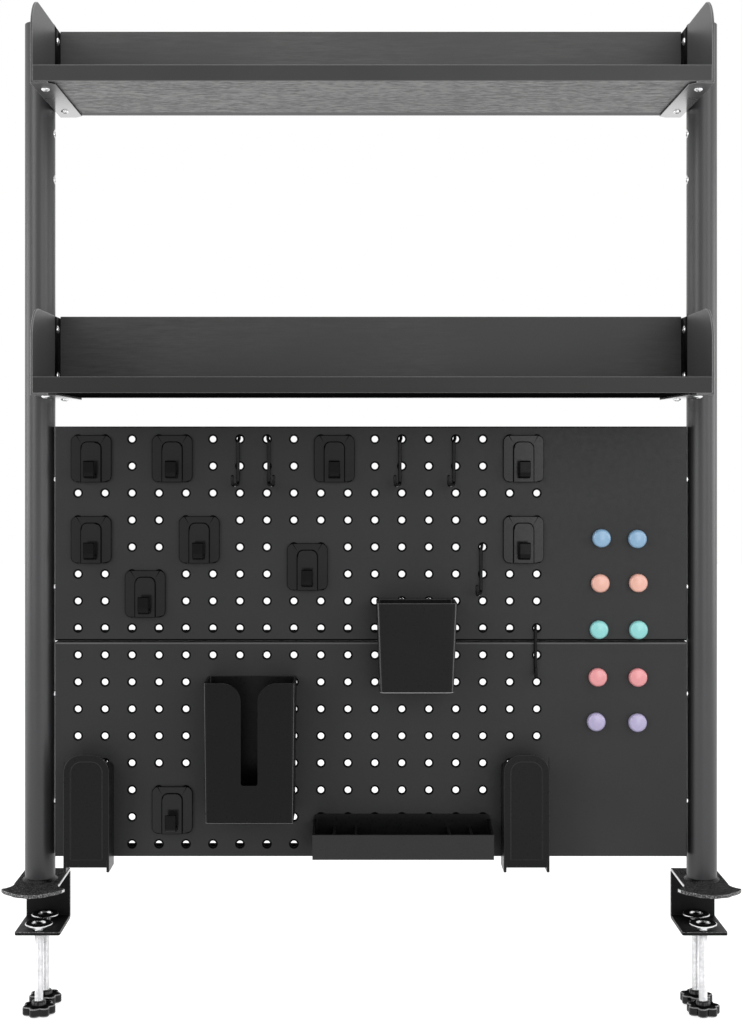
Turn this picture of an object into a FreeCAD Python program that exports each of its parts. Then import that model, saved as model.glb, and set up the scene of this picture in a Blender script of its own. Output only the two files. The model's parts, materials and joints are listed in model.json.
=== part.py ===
import FreeCAD, Part

import math
import os
import re

import Sketcher

# Pegboard desk organizer: two round posts on desk clamps carry two perforated steel panels and two
# shelves, and hooks, holders and magnets hang on the panels.
# Millimetres. X to the right, Y to the rear, Z up. The origin is on the desk top, on the plane of
# the two post axes and midway between them.

SIZES = {
    # posts and caps
    "post_spacing": 618,
    "post_diameter": 28,
    "post_wall": 1.5,
    "post_length": 797,
    "cap_flange": 3,
    "cap_plug": 9,
    "cap_bevel": 2,
    "seat_gap": 0.1,
    # desk clamps
    "clamp_sheet": 3,
    "clamp_width": 42,
    "clamp_rear": 44,
    "clamp_mouth": 42.5,
    "clamp_bend": 4,
    "jaw_front": -16,
    "jaw_corner": 2.5,
    "leaf_width": 58,
    "leaf_tip": -35,
    "leaf_front": -58,
    "leaf_waist": -16,
    "leaf_flare": 3.2,
    "scallops": 5,
    "scallop_depth": 1.8,
    "front_screw": -6.5,
    "rear_screw": 25.3,
    # clamp screws
    "rod_diameter": 8,
    "rod_fit": 0.05,
    "rod_length": 82.5,
    "rod_in_pad": 3.8,
    "pad_clearance": 1,
    "pad_height": 6,
    "pad_diameter": 25.5,
    "pad_neck": 12,
    "pad_rim": 1.8,
    "pad_dish": 0.8,
    "pad_dish_diameter": 21,
    "knob_height": 8,
    "knob_root_diameter": 27.9,
    "knob_lobes": 7,
    "lobe_turn": 15,
    "lobe_swell": 2,
    "lobe_hollow": 0.93,
    "knob_hub": 14,
    "knob_hub_height": 4,
    # perforated panels
    "panel_gap": 2,
    "panel_sheet": 1.2,
    "panel_depth": 20,
    "panel_seam": 1.5,
    "panel_bottom": 27,
    "panel_face": -13,
    "panel_lip": 8,
    "panel_fixing": 49.25,
    "hole_flats": 6.8,
    "hole_pitch": 25,
    "hole_columns": 18,
    "hole_rows": 8,
    "hole_margin": 21.5,
    # shelves
    "top_shelf_drop": 78,
    "spare_shelf_drop": 86,
    "shelf_above_panels": 27.5,
    "board_thickness": 14,
    "board_front": -121,
    "board_rear": 16,
    "back_height": 76.5,
    "plate_sheet": 2,
    "plate_height": 75,
    "plate_round": 30,
    "tab_width": 21,
    "tab_corner": 6,
    "tab_screw_inset": 9,
    "tab_screw_front": -97,
    "tab_screw_rear": 1,
    "lower_fixing": 20,
    "fixing_pitch": 43,
    # screws and rivet nuts
    "screw_head": 7.5,
    "screw_head_height": 2,
    "screw_shank": 3.8,
    "screw_length": 10,
    "screw_clearance": 0.4,
    "nut_flats": 7,
    "nut_bore": 4.2,
    "nut_length": 10,
    # tabs and pins of what hangs on the panels
    "tab_thickness": 2.5,
    "tab_play": 0.3,
    "tab_reach": 4.4,
    "tab_slack": 1.2,
    # plate hooks
    "hook_plate_width": 37.5,
    "hook_plate_height": 43.4,
    "hook_plate_sheet": 3,
    "hook_plate_round": 6,
    "hook_plate_drop": 18.2,
    "hook_boss_width": 18.8,
    "hook_boss_top": 6.1,
    "hook_boss_height": 2,
    "hook_boss_round": 6,
    "hook_width": 10,
    "hook_reach": 14,
    "hook_sheet": 3.6,
    "hook_bottom": 17.8,
    "hook_tip": 1.3,
    "hook_bend": 6,
    "hook_tip_swell": 1.44,
    # wire hooks
    "wire_flats": 3,
    "wire_drop": 0.9,
    "wire_shift": 1.2,
    "wire_step": 2.6,
    "wire_rear": 8,
    "wire_height": 41.35,
    "wire_reach": 25,
    "wire_bend": 4,
    "wire_tip": 8,
    # pen cup
    "cup_column": 12,
    "cup_row": 6,
    "cup_above_row": 2.25,
    "cup_height": 82,
    "cup_top_width": 73,
    "cup_top_depth": 45,
    "cup_bottom_width": 67,
    "cup_bottom_depth": 40,
    "cup_round": 5,
    "holder_wall": 2,
    # slotted bin
    "bin_column": 6,
    "bin_shift": -0.8,
    "bin_row": 9,
    "bin_above_row": 5.75,
    "bin_height": 125.5,
    "bin_top_width": 82,
    "bin_bottom_width": 79,
    "bin_depth": 51,
    "bin_round": 3,
    "slot_width": 15.2,
    "slot_bottom": 33.6,
    "slot_round": 2,
    "slot_shoulder": 17,
    # pencil tray
    "tray_column": 12,
    "tray_row": 14,
    "tray_below_row": 29.2,
    "tray_width": 163.6,
    "tray_depth": 43.5,
    "tray_front_height": 22.3,
    "tray_rear_height": 32.2,
    "tray_round": 4,
    "divider_height": 20.9,
    "outer_divider": 62.5,
    "inner_divider": 42.7,
    # headphone hangers
    "hanger_row": 12,
    "hanger_above_row": 13.05,
    "hanger_width": 41.6,
    "hanger_depth": 31,
    "hanger_height": 106.8,
    "hanger_round": 16.5,
    "hanger_wall": 2.5,
    "hanger_lip": 11.7,
    "saddle_round": 5,
    "hanger_foot": 4,
    "hanger_bevel": 7,
    "hanger_border": 6.5,
    "hanger_dish": 1,
    # magnets
    "magnet_diameter": 17,
    "magnet_height": 7,
    "magnet_side": 4.4,
    "magnet_top_diameter": 12.4,
}

SIDES = {"left": -1, "right": 1}

# Columns of the pencil tray's tabs, counted from its own column.
TRAY_TABS = (-3, -2, 2, 3)

# Column of each plate hook's left tab and row of its tabs, counted from the top left hole.
PLATE_HOOKS = ((0, 0), (3, 0), (9, 0), (16, 0), (0, 3), (4, 3), (16, 3), (8, 4), (2, 5), (3, 13))

# Column and row of each wire hook, the side of the hole on which it rests, and how far it is turned.
WIRE_HOOKS = (
    (6, 0, -1, -8.0),
    (7, 0, 1, 13.0),
    (12, 0, -1, -12.0),
    (14, 0, -1, -14.5),
    (15, 4, -1, -12.6),
    (17, 7, -1, -4.7),
)

# Centre of each magnet: how far in from the panels' right edge, and how far above their lower one.
MAGNETS = {
    "magnet_blue_1": (79.9, 295.0),
    "magnet_blue_2": (46.7, 294.3),
    "magnet_peach_1": (81.0, 253.3),
    "magnet_peach_2": (45.9, 253.6),
    "magnet_teal_1": (82.2, 210.4),
    "magnet_teal_2": (45.7, 210.2),
    "magnet_coral_1": (83.3, 166.4),
    "magnet_coral_2": (46.2, 166.2),
    "magnet_lavender_1": (84.8, 125.1),
    "magnet_lavender_2": (46.6, 124.4),
}

# Rise of a quarter circle over its chord, as a share of its radius.
QUARTER = "(1 - cos(45))"

# Which way the normal of each origin plane points along its axis.
NORMALS = {"XY": 1, "XZ": -1, "YZ": 1}

doc = FreeCAD.newDocument("pegboard_desk_organizer")
sheet = doc.addObject("Spreadsheet::Sheet", "Sizes")
for line, (alias, number) in enumerate(SIZES.items(), start=1):
    sheet.set(f"A{line}", alias)
    sheet.set(f"B{line}", str(number))
    sheet.setAlias(f"B{line}", alias)
doc.recompute()

nodes = []


def linked(expression):
    """An expression with the sheet's name put before each of its aliases."""
    return re.sub(r"[a-z_]+", lambda word: f"Sizes.{word[0]}" if word[0] in SIZES else word[0], expression)


def size(expression):
    """The value of an expression in the sheet's aliases."""
    return float(sheet.evalExpression(linked(expression)))


def new_piece(label, across="0", along="0", up="0"):
    """An empty body at a place given by expressions; it is written to a file of its own."""
    body = doc.addObject("PartDesign::Body", label)
    body.Label = label
    for axis, expression in zip("xyz", (across, along, up)):
        body.setExpression(f"Placement.Base.{axis}", linked(expression))
    nodes.append(body)
    return body


# Outlines for sketches. Each function returns one that draws into a sketch, with every point and
# radius bound to the sheet.


def outline(*corners):
    """A closed outline, anticlockwise, of corners (across, up) or (across, up, bulge).

    The edge after a corner with a bulge is an arc that swells outwards by it, or inwards where
    the bulge is below zero.
    """
    def draw(sketch):
        first = sketch.GeometryCount
        points = [FreeCAD.Vector(size(corner[0]), size(corner[1]), 0) for corner in corners]
        ends = []
        for number, corner in enumerate(corners):
            here = points[number]
            there = points[(number + 1) % len(points)]
            if len(corner) == 2:
                sketch.addGeometry(Part.LineSegment(here, there), False)
                ends.append((1, 2))
            else:
                ends.append(draw_arc(sketch, here, there, size(corner[2])))
        for number, corner in enumerate(corners):
            edge = first + number
            following = (number + 1) % len(corners)
            joint = (edge, ends[number][1], first + following, ends[following][0])
            sketch.addConstraint(Sketcher.Constraint("Coincident", *joint))
            fix_point(sketch, edge, ends[number][0], corner[0], corner[1])
            if len(corner) > 2:
                fix_radius(sketch, edge, arc_radius(corner, corners[following]))
    return draw


def draw_arc(sketch, here, there, bulge):
    """An arc between two points; the result says which of its ends lie here and there."""
    chord = there - here
    outwards = FreeCAD.Vector(chord.y, -chord.x, 0).normalize()
    radius = chord.Length ** 2 / (8 * abs(bulge)) + abs(bulge) / 2
    centre = (here + there) / 2 + outwards * (bulge - math.copysign(radius, bulge))
    start, stop = (here, there) if bulge > 0 else (there, here)
    angles = [math.atan2(point.y - centre.y, point.x - centre.x) for point in (start, stop)]
    circle = Part.Circle(centre, FreeCAD.Vector(0, 0, 1), radius)
    sketch.addGeometry(Part.ArcOfCircle(circle, *angles), False)
    return (1, 2) if bulge > 0 else (2, 1)


def arc_radius(corner, following):
    """The radius, as an expression, of the arc from a corner with a bulge to the following one."""
    chord = f"(({following[0]}) - ({corner[0]}))^2 + (({following[1]}) - ({corner[1]}))^2"
    return f"({chord}) / (8 * abs({corner[2]})) + abs({corner[2]}) / 2"


def fix_point(sketch, edge, end, across, up):
    for kind, expression in (("DistanceX", across), ("DistanceY", up)):
        place = Sketcher.Constraint(kind, -1, 1, edge, end, size(expression))
        number = sketch.addConstraint(place)
        sketch.setExpression(f"Constraints[{number}]", linked(expression))


def fix_radius(sketch, edge, radius):
    number = sketch.addConstraint(Sketcher.Constraint("Radius", edge, size(radius)))
    sketch.setExpression(f"Constraints[{number}]", linked(radius))


def circle(across, up, diameter):
    def draw(sketch):
        centre = FreeCAD.Vector(size(across), size(up), 0)
        ring = Part.Circle(centre, FreeCAD.Vector(0, 0, 1), size(diameter) / 2)
        edge = sketch.addGeometry(ring, False)
        fix_point(sketch, edge, 3, across, up)
        fix_radius(sketch, edge, f"({diameter}) / 2")
    return draw


def rectangle(left, bottom, right, top):
    return outline((left, bottom), (right, bottom), (right, top), (left, top))


def rounded_rectangle(left, bottom, right, top, radius):
    bulge = f"{radius} * {QUARTER}"
    return outline(
        (f"{left} + {radius}", bottom),
        (f"{right} - {radius}", bottom, bulge),
        (right, f"{bottom} + {radius}"),
        (right, f"{top} - {radius}", bulge),
        (f"{right} - {radius}", top),
        (f"{left} + {radius}", top, bulge),
        (left, f"{top} - {radius}"),
        (left, f"{bottom} + {radius}", bulge),
    )


def regular(across, up, flats, sides, spin=0):
    """A regular polygon that stands on one of its sides, or turned by a spin from there.

    It is given by its width over two flats.
    """
    reach = f"({flats}) / 2 / cos({180 / sides})"
    turns = [180 / sides * (2 * number - 1) - 90 + spin for number in range(1, sides + 1)]
    return outline(*((f"{across} + {reach} * cos({turn})", f"{up} + {reach} * sin({turn})") for turn in turns))


# Features. Each works on the body's origin planes and is bound to the sheet.


def new_sketch(body, plane, place, shapes):
    """A sketch on an origin plane, moved along that plane's axis to a place."""
    origin = {feature.Role: feature for feature in body.Origin.OriginFeatures}
    sketch = body.newObject("Sketcher::SketchObject", f"{body.Label}_sketch")
    sketch.AttachmentSupport = [(origin[f"{plane}_Plane"], "")]
    sketch.MapMode = "FlatFace"
    sketch.setExpression("AttachmentOffset.Base.z", linked(f"{NORMALS[plane]} * ({place})"))
    for draw in shapes:
        draw(sketch)
    return sketch


def add_feature(body, kind, **properties):
    feature = body.newObject(f"PartDesign::{kind}", f"{body.Label}_{kind}")
    for name, value in properties.items():
        setattr(feature, name, value)
    return feature


def slab(body, plane, start, stop, *shapes, cut=False):
    """Pad the shapes from one place to another along a plane's axis, or cut them out."""
    low, high = sorted((start, stop), key=size)
    from_low = (NORMALS[plane] > 0) != cut
    sketch = new_sketch(body, plane, low if from_low else high, shapes)
    before = body.Shape.Volume if cut else 0
    feature = add_feature(body, "Pocket" if cut else "Pad", Profile=sketch)
    feature.setExpression("Length", linked(f"({high}) - ({low})"))
    doc.recompute()
    if cut and not body.Shape.Volume < before:
        raise RuntimeError(f"a cut in {body.Label} removes nothing")
    return feature


def turned(body, *profile):
    """Turn a profile of corners (radius, height) about the body's own Z axis."""
    sketch = new_sketch(body, "XZ", "0", [outline(*profile)])
    add_feature(body, "Revolution", Profile=sketch, ReferenceAxis=(sketch, ["V_Axis"]))
    doc.recompute()


def tapered(body, low, low_shape, high, high_shape, cut=False):
    """Loft straight from one level outline to another, or cut that form out."""
    lower = new_sketch(body, "XY", low, [low_shape])
    upper = new_sketch(body, "XY", high, [high_shape])
    kind = "SubtractiveLoft" if cut else "AdditiveLoft"
    add_feature(body, kind, Profile=lower, Sections=[upper], Ruled=True)
    doc.recompute()


def round_edges(body, radius, chosen):
    """Round the edges for which chosen is true of their bounding box."""
    edges = body.Tip.Shape.Edges
    names = [f"Edge{number}" for number, edge in enumerate(edges, start=1) if chosen(edge.BoundBox)]
    fillet = add_feature(body, "Fillet", Base=(body.Tip, names))
    fillet.setExpression("Radius", linked(radius))
    doc.recompute()


def repeat(body, feature, sketch, across, columns, up, rows):
    """Repeat a feature over a grid of columns and rows."""
    pattern = body.newObject("PartDesign::LinearPattern", f"{body.Label}_pattern")
    pattern.Originals = [feature]
    pattern.Direction = (sketch, ["H_Axis"])
    pattern.Direction2 = (sketch, ["V_Axis"])
    pattern.setExpression("Length", linked(across))
    pattern.setExpression("Occurrences", linked(columns))
    pattern.setExpression("Length2", linked(up))
    pattern.setExpression("Occurrences2", linked(rows))
    body.Tip = pattern
    doc.recompute()


def at(value, expression):
    return abs(value - size(expression)) < 0.01


def grouped(label, shapes):
    """Many small fasteners of one kind as one object, each a solid of its own."""
    group = doc.addObject("Part::Feature", label)
    group.Label = label
    group.Shape = Part.makeCompound(shapes)
    group.Placement = FreeCAD.Placement()
    nodes.append(group)


def placed(master, across, along, up, direction):
    """A copy of a master's shape with its Z axis turned to a direction, at a place."""
    spin = FreeCAD.Rotation(FreeCAD.Vector(0, 0, 1), FreeCAD.Vector(*direction))
    place = FreeCAD.Vector(size(across), size(along), size(up))
    copy = master.Shape.copy()
    copy.Placement = FreeCAD.Placement(place, spin)
    return copy


# Places that several pieces share.

POST_FACE = "(post_spacing - post_diameter) / 2"
PANEL_EDGE = f"({POST_FACE} - panel_gap)"
PANEL_BACK = "panel_face + panel_depth"
BOARD_END = f"({POST_FACE} - plate_sheet)"
BACK_REAR = "board_rear + board_thickness"
POST_TOP = "(clamp_sheet + post_length)"
PANEL_STEP = "(hole_rows * hole_pitch)"
PANEL_HEIGHT = f"({PANEL_STEP} - panel_seam)"
FIRST_ROW = "(hole_pitch - panel_seam) / 2"
PANELS = {"lower_panel": "panel_bottom", "upper_panel": f"panel_bottom + {PANEL_STEP}"}
PANEL_FIXINGS = ("panel_fixing", f"{PANEL_HEIGHT} - panel_fixing")
SHELVES = {
    "top_shelf": f"{POST_TOP} - top_shelf_drop",
    "middle_shelf": f"panel_bottom + {PANEL_STEP} + {PANEL_HEIGHT} + shelf_above_panels",
}
SPARE_SHELF = f"{SHELVES['top_shelf']} - spare_shelf_drop"
FIXING_HEIGHTS = ("lower_fixing", "lower_fixing + fixing_pitch")
CLAMP_SCREWS = {"front": "front_screw", "rear": "rear_screw"}
PAD_BOTTOM = "(pad_clearance - clamp_mouth)"
ROD_BOTTOM = f"({PAD_BOTTOM} + rod_in_pad - rod_length)"


def column(number):
    """Place of a column of holes, counted from the panels' left edge."""
    return f"hole_margin - {PANEL_EDGE} + {number} * hole_pitch"


def row(number):
    """Height of a row of holes, counted down from the top one; the seam keeps the rows' pitch."""
    return f"panel_bottom + {FIRST_ROW} + ({len(PANELS)} * hole_rows - 1 - {number}) * hole_pitch"


def shelf_nut_heights():
    for bottom in (*SHELVES.values(), SPARE_SHELF):
        for height in FIXING_HEIGHTS:
            yield f"{bottom} + {height}"


def panel_nut_heights():
    for bottom in PANELS.values():
        for height in PANEL_FIXINGS:
            yield f"{bottom} + {height}"


# Posts, caps and clamps.


def make_post(name, side):
    """A steel tube with a hexagonal hole for each rivet nut in the wall that faces inwards."""
    post = new_piece(f"{name}_post", f"{side} * post_spacing / 2", "0", "clamp_sheet")
    bore = circle("0", "0", "post_diameter - 2 * post_wall")
    slab(post, "XY", "0", "post_length", circle("0", "0", "post_diameter"), bore)
    heights = (*shelf_nut_heights(), *panel_nut_heights())
    holes = [regular("0", f"{height} - clamp_sheet", "nut_flats + seat_gap", 6, 30) for height in heights]
    slab(post, "YZ", f"{-side} * post_diameter", "0", *holes, cut=True)


def make_caps():
    """A pressed-in cap with a bevelled shoulder for each post."""
    cap = doc.addObject("PartDesign::Body", "post_cap_master")
    plug = "post_diameter / 2 - post_wall - seat_gap"
    turned(
        cap,
        ("0", "-cap_plug"),
        (plug, "-cap_plug"),
        (plug, "0"),
        ("post_diameter / 2", "0"),
        ("post_diameter / 2", "cap_flange - cap_bevel"),
        ("post_diameter / 2 - cap_bevel", "cap_flange"),
        ("0", "cap_flange"),
    )
    copies = [placed(cap, f"{side} * post_spacing / 2", "0", POST_TOP, (0, 0, 1)) for side in SIDES.values()]
    grouped("post_caps", copies)


def leaf_outline():
    """The base plate: straight sides that flare to two tips, and a bowed front of scallops."""
    corners = []
    for number in range(SIZES["scallops"]):
        share = f"(2 * {number} / scallops - 1)"
        bow = f"leaf_front + (leaf_tip - leaf_front) * {share}^2"
        corners.append((f"leaf_width / 2 * {share}", bow, "scallop_depth"))
    corners.append(("leaf_width / 2", "leaf_tip", "-leaf_flare"))
    corners.append(("clamp_width / 2", "leaf_waist"))
    corners.append(("clamp_width / 2", "clamp_rear"))
    corners.append(("-clamp_width / 2", "clamp_rear"))
    corners.append(("-clamp_width / 2", "leaf_waist", "-leaf_flare"))
    return outline(*corners)


def make_clamp_bracket(name, side):
    """Base plate, rear plate and lower jaw bent from one strip, with two threaded holes."""
    bracket = new_piece(f"{name}_clamp_bracket", f"{side} * post_spacing / 2")
    jaw_bottom = "-clamp_mouth - clamp_sheet"
    half = "clamp_width / 2"
    slab(bracket, "XY", "0", "clamp_sheet", leaf_outline())
    rear_plate = rectangle(f"-{half}", jaw_bottom, half, "clamp_sheet")
    slab(bracket, "XZ", "clamp_rear - clamp_sheet", "clamp_rear", rear_plate)
    corner = f"jaw_corner * {QUARTER}"
    jaw = outline(
        (f"jaw_corner - {half}", "jaw_front"),
        (f"{half} - jaw_corner", "jaw_front", corner),
        (half, "jaw_front + jaw_corner"),
        (half, "clamp_rear"),
        (f"-{half}", "clamp_rear"),
        (f"-{half}", "jaw_front + jaw_corner", corner),
    )
    slab(bracket, "XY", jaw_bottom, "-clamp_mouth", jaw)
    threads = [circle("0", along, "rod_diameter + 2 * rod_fit") for along in CLAMP_SCREWS.values()]
    slab(bracket, "XY", jaw_bottom, "-clamp_mouth", *threads, cut=True)
    bends = (
        ("clamp_bend", "clamp_rear", ("clamp_sheet", jaw_bottom)),
        ("clamp_bend - clamp_sheet", "clamp_rear - clamp_sheet", ("0", "-clamp_mouth")),
    )
    for radius, along, heights in bends:
        round_edges(bracket, radius, lambda box: is_bend(box, along, heights))


def is_bend(box, along, heights):
    level = box.ZLength < 0.01 and any(at(box.ZMin, height) for height in heights)
    return level and at(box.YMin, along) and at(box.YMax, along)


def make_clamp_screw(name, side, end, along):
    """A swivel pad, a threaded rod and a star knob."""
    place = (f"{side} * post_spacing / 2", along)
    label = f"{name}_{end}_clamp"

    pad = new_piece(f"{label}_pad", *place, PAD_BOTTOM)
    socket = "rod_diameter / 2 + rod_fit"
    turned(
        pad,
        (socket, "0"),
        ("pad_neck / 2", "0"),
        ("pad_diameter / 2", "pad_height - pad_rim"),
        ("pad_diameter / 2", "pad_height"),
        ("pad_dish_diameter / 2", "pad_height"),
        ("pad_dish_diameter / 2 - pad_dish", "pad_height - pad_dish"),
        ("0", "pad_height - pad_dish"),
        ("0", "rod_in_pad"),
        (socket, "rod_in_pad"),
    )

    rod = new_piece(f"{label}_rod", *place, ROD_BOTTOM)
    slab(rod, "XY", "0", "rod_length", circle("0", "0", "rod_diameter"))

    knob = new_piece(f"{label}_knob", *place, ROD_BOTTOM)
    bore = circle("0", "0", "rod_diameter + 2 * rod_fit")
    slab(knob, "XY", "0", "knob_height", star_outline(), bore)
    hub_top = "knob_height + knob_hub_height"
    slab(knob, "XY", "knob_height", hub_top, circle("0", "0", "knob_hub"), bore)


def star_outline():
    """The knob's lobes: convex arcs with shallow hollows between them."""
    corners = []
    reach = "knob_root_diameter / 2"
    for number in range(SIZES["knob_lobes"]):
        for turn, bulge in (("-lobe_turn", "lobe_swell"), ("lobe_turn", "-lobe_hollow")):
            angle = f"(360 * {number} / knob_lobes + {turn})"
            corners.append((f"{reach} * cos({angle})", f"{reach} * sin({angle})", bulge))
    return outline(*corners)


# Panels and shelves.


def make_panel(label, bottom):
    """A perforated sheet, folded back on all four sides, with return lips above and below."""
    panel = new_piece(label, "0", "0", bottom)
    inner = "panel_face + panel_sheet"
    folded = outline(
        ("panel_face", "0"),
        (PANEL_BACK, "0"),
        (PANEL_BACK, "panel_lip"),
        (f"{PANEL_BACK} - panel_sheet", "panel_lip"),
        (f"{PANEL_BACK} - panel_sheet", "panel_sheet"),
        (inner, "panel_sheet"),
        (inner, f"{PANEL_HEIGHT} - panel_sheet"),
        (f"{PANEL_BACK} - panel_sheet", f"{PANEL_HEIGHT} - panel_sheet"),
        (f"{PANEL_BACK} - panel_sheet", f"{PANEL_HEIGHT} - panel_lip"),
        (PANEL_BACK, f"{PANEL_HEIGHT} - panel_lip"),
        (PANEL_BACK, PANEL_HEIGHT),
        ("panel_face", PANEL_HEIGHT),
    )
    slab(panel, "YZ", f"-{PANEL_EDGE}", PANEL_EDGE, folded)
    for side in SIDES.values():
        edge = f"{side} * {PANEL_EDGE}"
        inside = f"{edge} - {side} * panel_sheet"
        slab(panel, "YZ", inside, edge, rectangle("panel_face", "0", PANEL_BACK, PANEL_HEIGHT))
        holes = [regular("0", height, "screw_shank + screw_clearance", 8) for height in PANEL_FIXINGS]
        slab(panel, "YZ", inside, edge, *holes, cut=True)
    hole = regular(column(0), FIRST_ROW, "hole_flats", 8)
    first = slab(panel, "XZ", "panel_face", inner, hole, cut=True)
    across = "hole_pitch * (hole_columns - 1)"
    up = "hole_pitch * (hole_rows - 1)"
    repeat(panel, first, first.Profile[0], across, "hole_columns", up, "hole_rows")


def make_shelf(shelf, bottom):
    """A board and a back board between two bent side plates."""
    board = new_piece(f"{shelf}_board", "0", "0", bottom)
    floor = rectangle(f"-{BOARD_END}", "board_front", BOARD_END, "board_rear")
    slab(board, "XY", "0", "board_thickness", floor)
    pilot = "screw_shank + seat_gap"
    depth = "screw_length - plate_sheet + seat_gap"
    holes = [regular(across, along, pilot, 8) for across, along in tab_screws()]
    slab(board, "XY", "0", depth, *holes, cut=True)

    back = new_piece(shelf.replace("shelf", "back_board"), "0", "0", bottom)
    wall = rectangle(f"-{BOARD_END}", "board_rear", BOARD_END, BACK_REAR)
    slab(back, "XY", "0", "back_height", wall)
    for side in SIDES.values():
        end = f"{side} * {BOARD_END}"
        holes = [regular("board_rear + board_thickness / 2", height, pilot, 8) for height in FIXING_HEIGHTS]
        slab(back, "YZ", f"{end} - {side} * ({depth})", end, *holes, cut=True)

    for name, side in SIDES.items():
        make_side_plate(f"{shelf}_{name}_side_plate", side, bottom)


def tab_screws():
    """Where the screws go up through the tabs, as places across and along."""
    for side in SIDES.values():
        for along in ("tab_screw_front", "tab_screw_rear"):
            yield f"{side} * ({POST_FACE} - tab_screw_inset)", along


def make_side_plate(label, side, bottom):
    """A side plate with a large round at its front top, and a tab bent under the board."""
    plate = new_piece(label, "0", "0", bottom)
    outer = f"{side} * {POST_FACE}"
    inner = f"{side} * {BOARD_END}"
    profile = outline(
        ("board_front", "-plate_sheet"),
        (BACK_REAR, "-plate_sheet"),
        (BACK_REAR, "plate_height"),
        ("board_front + plate_round", "plate_height", f"plate_round * {QUARTER}"),
        ("board_front", "plate_height - plate_round"),
    )
    slab(plate, "YZ", inner, outer, profile)
    free = f"{side} * ({POST_FACE} - tab_width)"
    beside = f"{free} + {side} * tab_corner"
    corners = [
        (outer, "board_front"),
        (outer, BACK_REAR),
        (beside, BACK_REAR),
        (free, f"{BACK_REAR} - tab_corner"),
        (free, "board_front + tab_corner"),
        (beside, "board_front"),
    ]
    if side < 0:
        corners.reverse()
    slab(plate, "XY", "-plate_sheet", "0", outline(*corners))
    clear = "screw_shank + screw_clearance"
    through = [regular("0", height, clear, 8) for height in FIXING_HEIGHTS]
    behind = [regular("board_rear + board_thickness / 2", height, clear, 8) for height in FIXING_HEIGHTS]
    slab(plate, "YZ", inner, outer, *through, *behind, cut=True)
    under = [regular(across, along, clear, 8) for across, along in tab_screws() if across.startswith(f"{side} ")]
    slab(plate, "XY", "-plate_sheet", "0", *under, cut=True)


# Screws and rivet nuts.


def make_screws():
    """Button-head screws: shelves and panels to the posts, tabs and side plates to the boards."""
    screw = doc.addObject("PartDesign::Body", "screw_master")
    slab(screw, "XY", "0", "screw_head_height", regular("0", "0", "screw_head", 8))
    slab(screw, "XY", "-screw_length", "0", regular("0", "0", "screw_shank", 8))
    copies = []
    for side in SIDES.values():
        inwards = (-side, 0, 0)
        outwards = (side, 0, 0)
        for bottom in SHELVES.values():
            for height in FIXING_HEIGHTS:
                up = f"{bottom} + {height}"
                behind = "board_rear + board_thickness / 2"
                copies.append(placed(screw, f"{side} * {BOARD_END}", "0", up, inwards))
                copies.append(placed(screw, f"{side} * {POST_FACE}", behind, up, outwards))
        for up in panel_nut_heights():
            inside = f"{side} * ({PANEL_EDGE} - panel_sheet)"
            copies.append(placed(screw, inside, "0", up, inwards))
    for bottom in SHELVES.values():
        for across, along in tab_screws():
            copies.append(placed(screw, across, along, f"{bottom} - plate_sheet", (0, 0, -1)))
    grouped("screws", copies)


def make_rivet_nuts():
    """Rivet nuts in the posts: flush for shelves, and standing out to the panels' flanges."""
    free = doc.addObject("PartDesign::Body", "free_rivet_nut_master")
    slab(free, "XY", "-nut_length", "0", regular("0", "0", "nut_flats", 6), circle("0", "0", "nut_bore"))
    nut = doc.addObject("PartDesign::Body", "rivet_nut_master")
    thread = regular("0", "0", "nut_bore", 8)
    slab(nut, "XY", "-nut_length", "0", regular("0", "0", "nut_flats", 6), thread)
    copies = []
    for side in SIDES.values():
        for up in shelf_nut_heights():
            master = free if up.startswith(SPARE_SHELF) else nut
            copies.append(placed(master, f"{side} * {POST_FACE}", "0", up, (-side, 0, 0)))
        for up in panel_nut_heights():
            copies.append(placed(nut, f"{side} * {PANEL_EDGE}", "0", up, (-side, 0, 0)))
    grouped("rivet_nuts", copies)


# What hangs on the panels. The origin of each piece lies on the panels' front face, Y pointing
# through the sheet.


def panel_tab(body, across, up):
    """A tab through a hole: an arm just above its lower edge, and a shorter rise behind the sheet."""
    bottom = f"({up} - hole_flats / 2 + tab_play)"
    top = f"{bottom} + hole_flats - tab_slack"
    end = "panel_sheet + tab_reach"
    hook = outline(
        ("-holder_wall / 2", bottom),
        (end, bottom),
        (end, top),
        (f"{end} - tab_thickness", top),
        (f"{end} - tab_thickness", f"{bottom} + tab_thickness"),
        ("-holder_wall / 2", f"{bottom} + tab_thickness"),
    )
    slab(body, "YZ", f"{across} - tab_thickness / 2", f"{across} + tab_thickness / 2", hook)


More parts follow.
